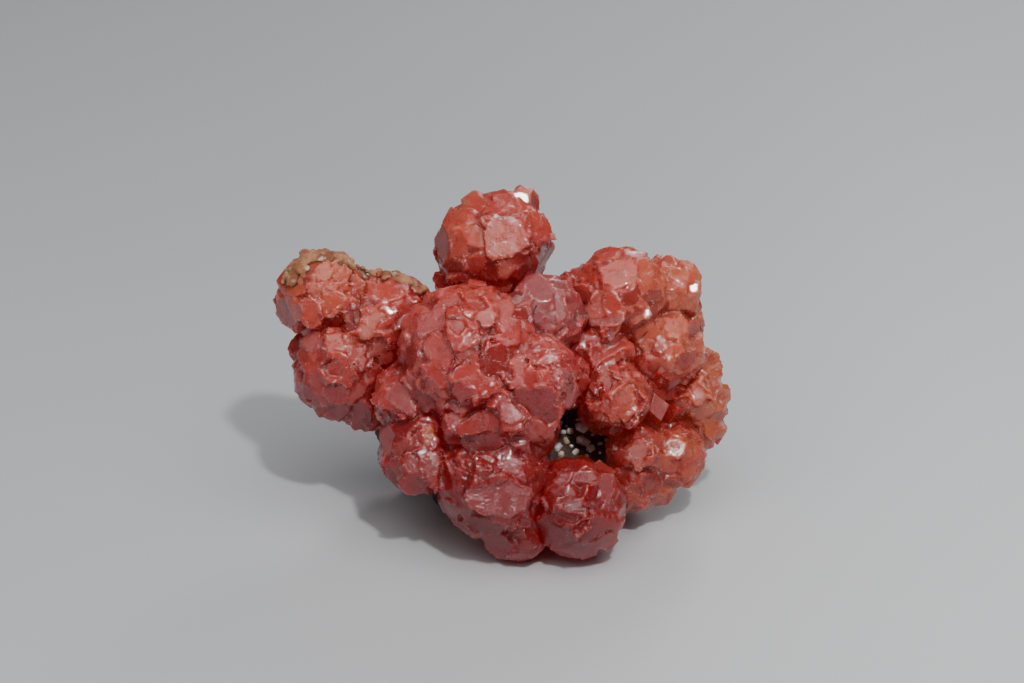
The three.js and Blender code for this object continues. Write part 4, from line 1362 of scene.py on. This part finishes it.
class SPECIMEN_OT_crust(bpy.types.Operator):
    """Grows the ochre crust along the top of the left cluster"""

    bl_idname = "specimen.crust"
    bl_label = "Grow the ochre crust"

    def execute(self, context):
        trees = [skin_tree(node) for node in ("left_crystals", ROCK)]
        eye = view_ray(0, 0)[0] / MM

        def place_at(rng):
            while True:
                (u0, v0), (u1, v1) = rng.choice(CRUST_PATHS)
                along = rng.random()
                u = u0 + (u1 - u0) * along + rng.gauss(0, 3.2)
                v = v0 + (v1 - v0) * along + rng.gauss(0, 2.6)
                hits = [tree.ray_cast(eye, view_ray(u, v)[1]) for tree in trees]
                hits = [hit for hit in hits if hit[0] is not None]
                if hits:
                    place, out, _, _ = min(hits, key=lambda hit: hit[3])
                    return place, out, rng.triangular(0.14, 0.55, 0.22)

        mesh = crust_mesh(random.Random(9), place_at)
        piece = add_piece("ochre_crust", mesh, crust_material(effect_groups()), smooth=True)
        return {"FINISHED"}


class SPECIMEN_OT_quartz(bpy.types.Operator):
    """Sets the grains of quartz in the hollow"""

    bl_idname = "specimen.quartz"
    bl_label = "Set quartz grains"

    def execute(self, context):
        rock = bpy.data.objects.get("weathered_rock")
        if rock is None:
            raise RuntimeError("The rock is weathered before the quartz is set on it")
        seen = BVHTree.FromPolygons(
            [v.co for v in rock.data.vertices], [p.vertices for p in rock.data.polygons]
        )
        mesh = quartz_mesh(random.Random(5), seen)
        piece = add_piece("quartz_grains", mesh, quartz_material(effect_groups()))
        return {"FINISHED"}


BACKDROP, BACKDROP_STRENGTH = (0.55, 0.56, 0.6, 1), 0.08
LIT_MIDDLE = Vector((0, 0, 0.014))
# Each light: its name, place, width and height, and the setting that has its power.
LIGHTS = (
    ("key_light", KEY, (0.6, 0.44), "key_power"),
    ("side_light", (-0.25, -0.2, 0.16), (0.1, 0.16), "fill_power"),
    ("lamp", LAMP, (0.02, 0.02), "lamp_power"),
    ("back_light", (0.12, 0.3, 0.2), (0.1, 0.1), "back_power"),
)


class SPECIMEN_OT_stage(bpy.types.Operator):
    """Sets out the floor, the lights and the camera"""

    bl_idname = "specimen.stage"
    bl_label = "Set the stage"

    def execute(self, context):
        settings = context.scene.specimen_stage
        half = settings.floor_size / 2
        mesh = bpy.data.meshes.new("floor")
        corners = [(-half, -half, 0), (half, -half, 0), (half, half, 0), (-half, half, 0)]
        mesh.from_pydata(corners, [], [(0, 1, 2, 3)])
        mesh.materials.append(floor_material())
        floor = bpy.data.objects.new("floor", mesh)
        context.scene.collection.objects.link(floor)
        world = bpy.data.worlds.new("studio")
        context.scene.world = world
        world.use_nodes = True
        backdrop = world.node_tree.nodes["Background"]
        backdrop.inputs["Color"].default_value = BACKDROP
        backdrop.inputs["Strength"].default_value = BACKDROP_STRENGTH
        for name, place, size, power in LIGHTS:
            add_light(name, place, LIT_MIDDLE, size, getattr(settings, power))
        right, up, back = view_axes()
        camera = bpy.data.cameras.new("camera")
        camera.lens, camera.sensor_width = LENS, SENSOR
        camera.clip_start, camera.clip_end = 0.01, 10
        eye = bpy.data.objects.new("camera", camera)
        turn = Matrix((right, up, back)).transposed().to_4x4()
        eye.matrix_world = Matrix.Translation(VIEW_MIDDLE + back * VIEW_DISTANCE) @ turn
        context.scene.collection.objects.link(eye)
        context.scene.camera = eye
        return {"FINISHED"}


def add_light(name, place, towards, size, power):
    light = bpy.data.lights.new(name, "AREA")
    light.shape = "RECTANGLE"
    light.size, light.size_y = size
    light.energy = power
    lamp = bpy.data.objects.new(name, light)
    lamp.location = place
    lamp.rotation_euler = (towards - Vector(place)).to_track_quat("-Z", "Y").to_euler()
    bpy.context.scene.collection.objects.link(lamp)
    return lamp


class SPECIMEN_PT_panel(bpy.types.Panel):
    """Lists the specimen's pieces and their settings"""

    bl_idname = "SPECIMEN_PT_panel"
    bl_label = "Specimen"
    bl_space_type = "VIEW_3D"
    bl_region_type = "UI"
    bl_category = "Specimen"

    def draw(self, context):
        for title, settings, operators in SECTIONS:
            box = self.layout.box()
            box.label(text=title)
            group = getattr(context.scene, settings)
            for key in group.__annotations__:
                box.prop(group, key)
            for operator in operators:
                box.operator(operator)


SECTIONS = (
    ("Crystals", "specimen_crystals", ("specimen.crystals", "specimen.gap_rhombs")),
    ("Rock", "specimen_rock", ("specimen.rock", "specimen.crust", "specimen.quartz")),
    ("Stage", "specimen_stage", ("specimen.stage",)),
)
CLASSES = (
    CrystalSettings, RockSettings, StageSettings, SPECIMEN_OT_crystals, SPECIMEN_OT_gap_rhombs,
    SPECIMEN_OT_rock, SPECIMEN_OT_crust, SPECIMEN_OT_quartz, SPECIMEN_OT_stage, SPECIMEN_PT_panel,
)


def register():
    for cls in CLASSES:
        bpy.utils.register_class(cls)
    bpy.types.Scene.specimen_crystals = PointerProperty(type=CrystalSettings)
    bpy.types.Scene.specimen_rock = PointerProperty(type=RockSettings)
    bpy.types.Scene.specimen_stage = PointerProperty(type=StageSettings)


def unregister():
    for key in ("specimen_crystals", "specimen_rock", "specimen_stage"):
        delattr(bpy.types.Scene, key)
    for cls in reversed(CLASSES):
        bpy.utils.unregister_class(cls)


def main():
    register()
    bpy.ops.specimen.crystals()
    bpy.ops.specimen.gap_rhombs()
    bpy.ops.specimen.rock()
    bpy.ops.specimen.crust()
    bpy.ops.specimen.quartz()
    bpy.ops.specimen.stage()


if __name__ == "__main__":
    main()
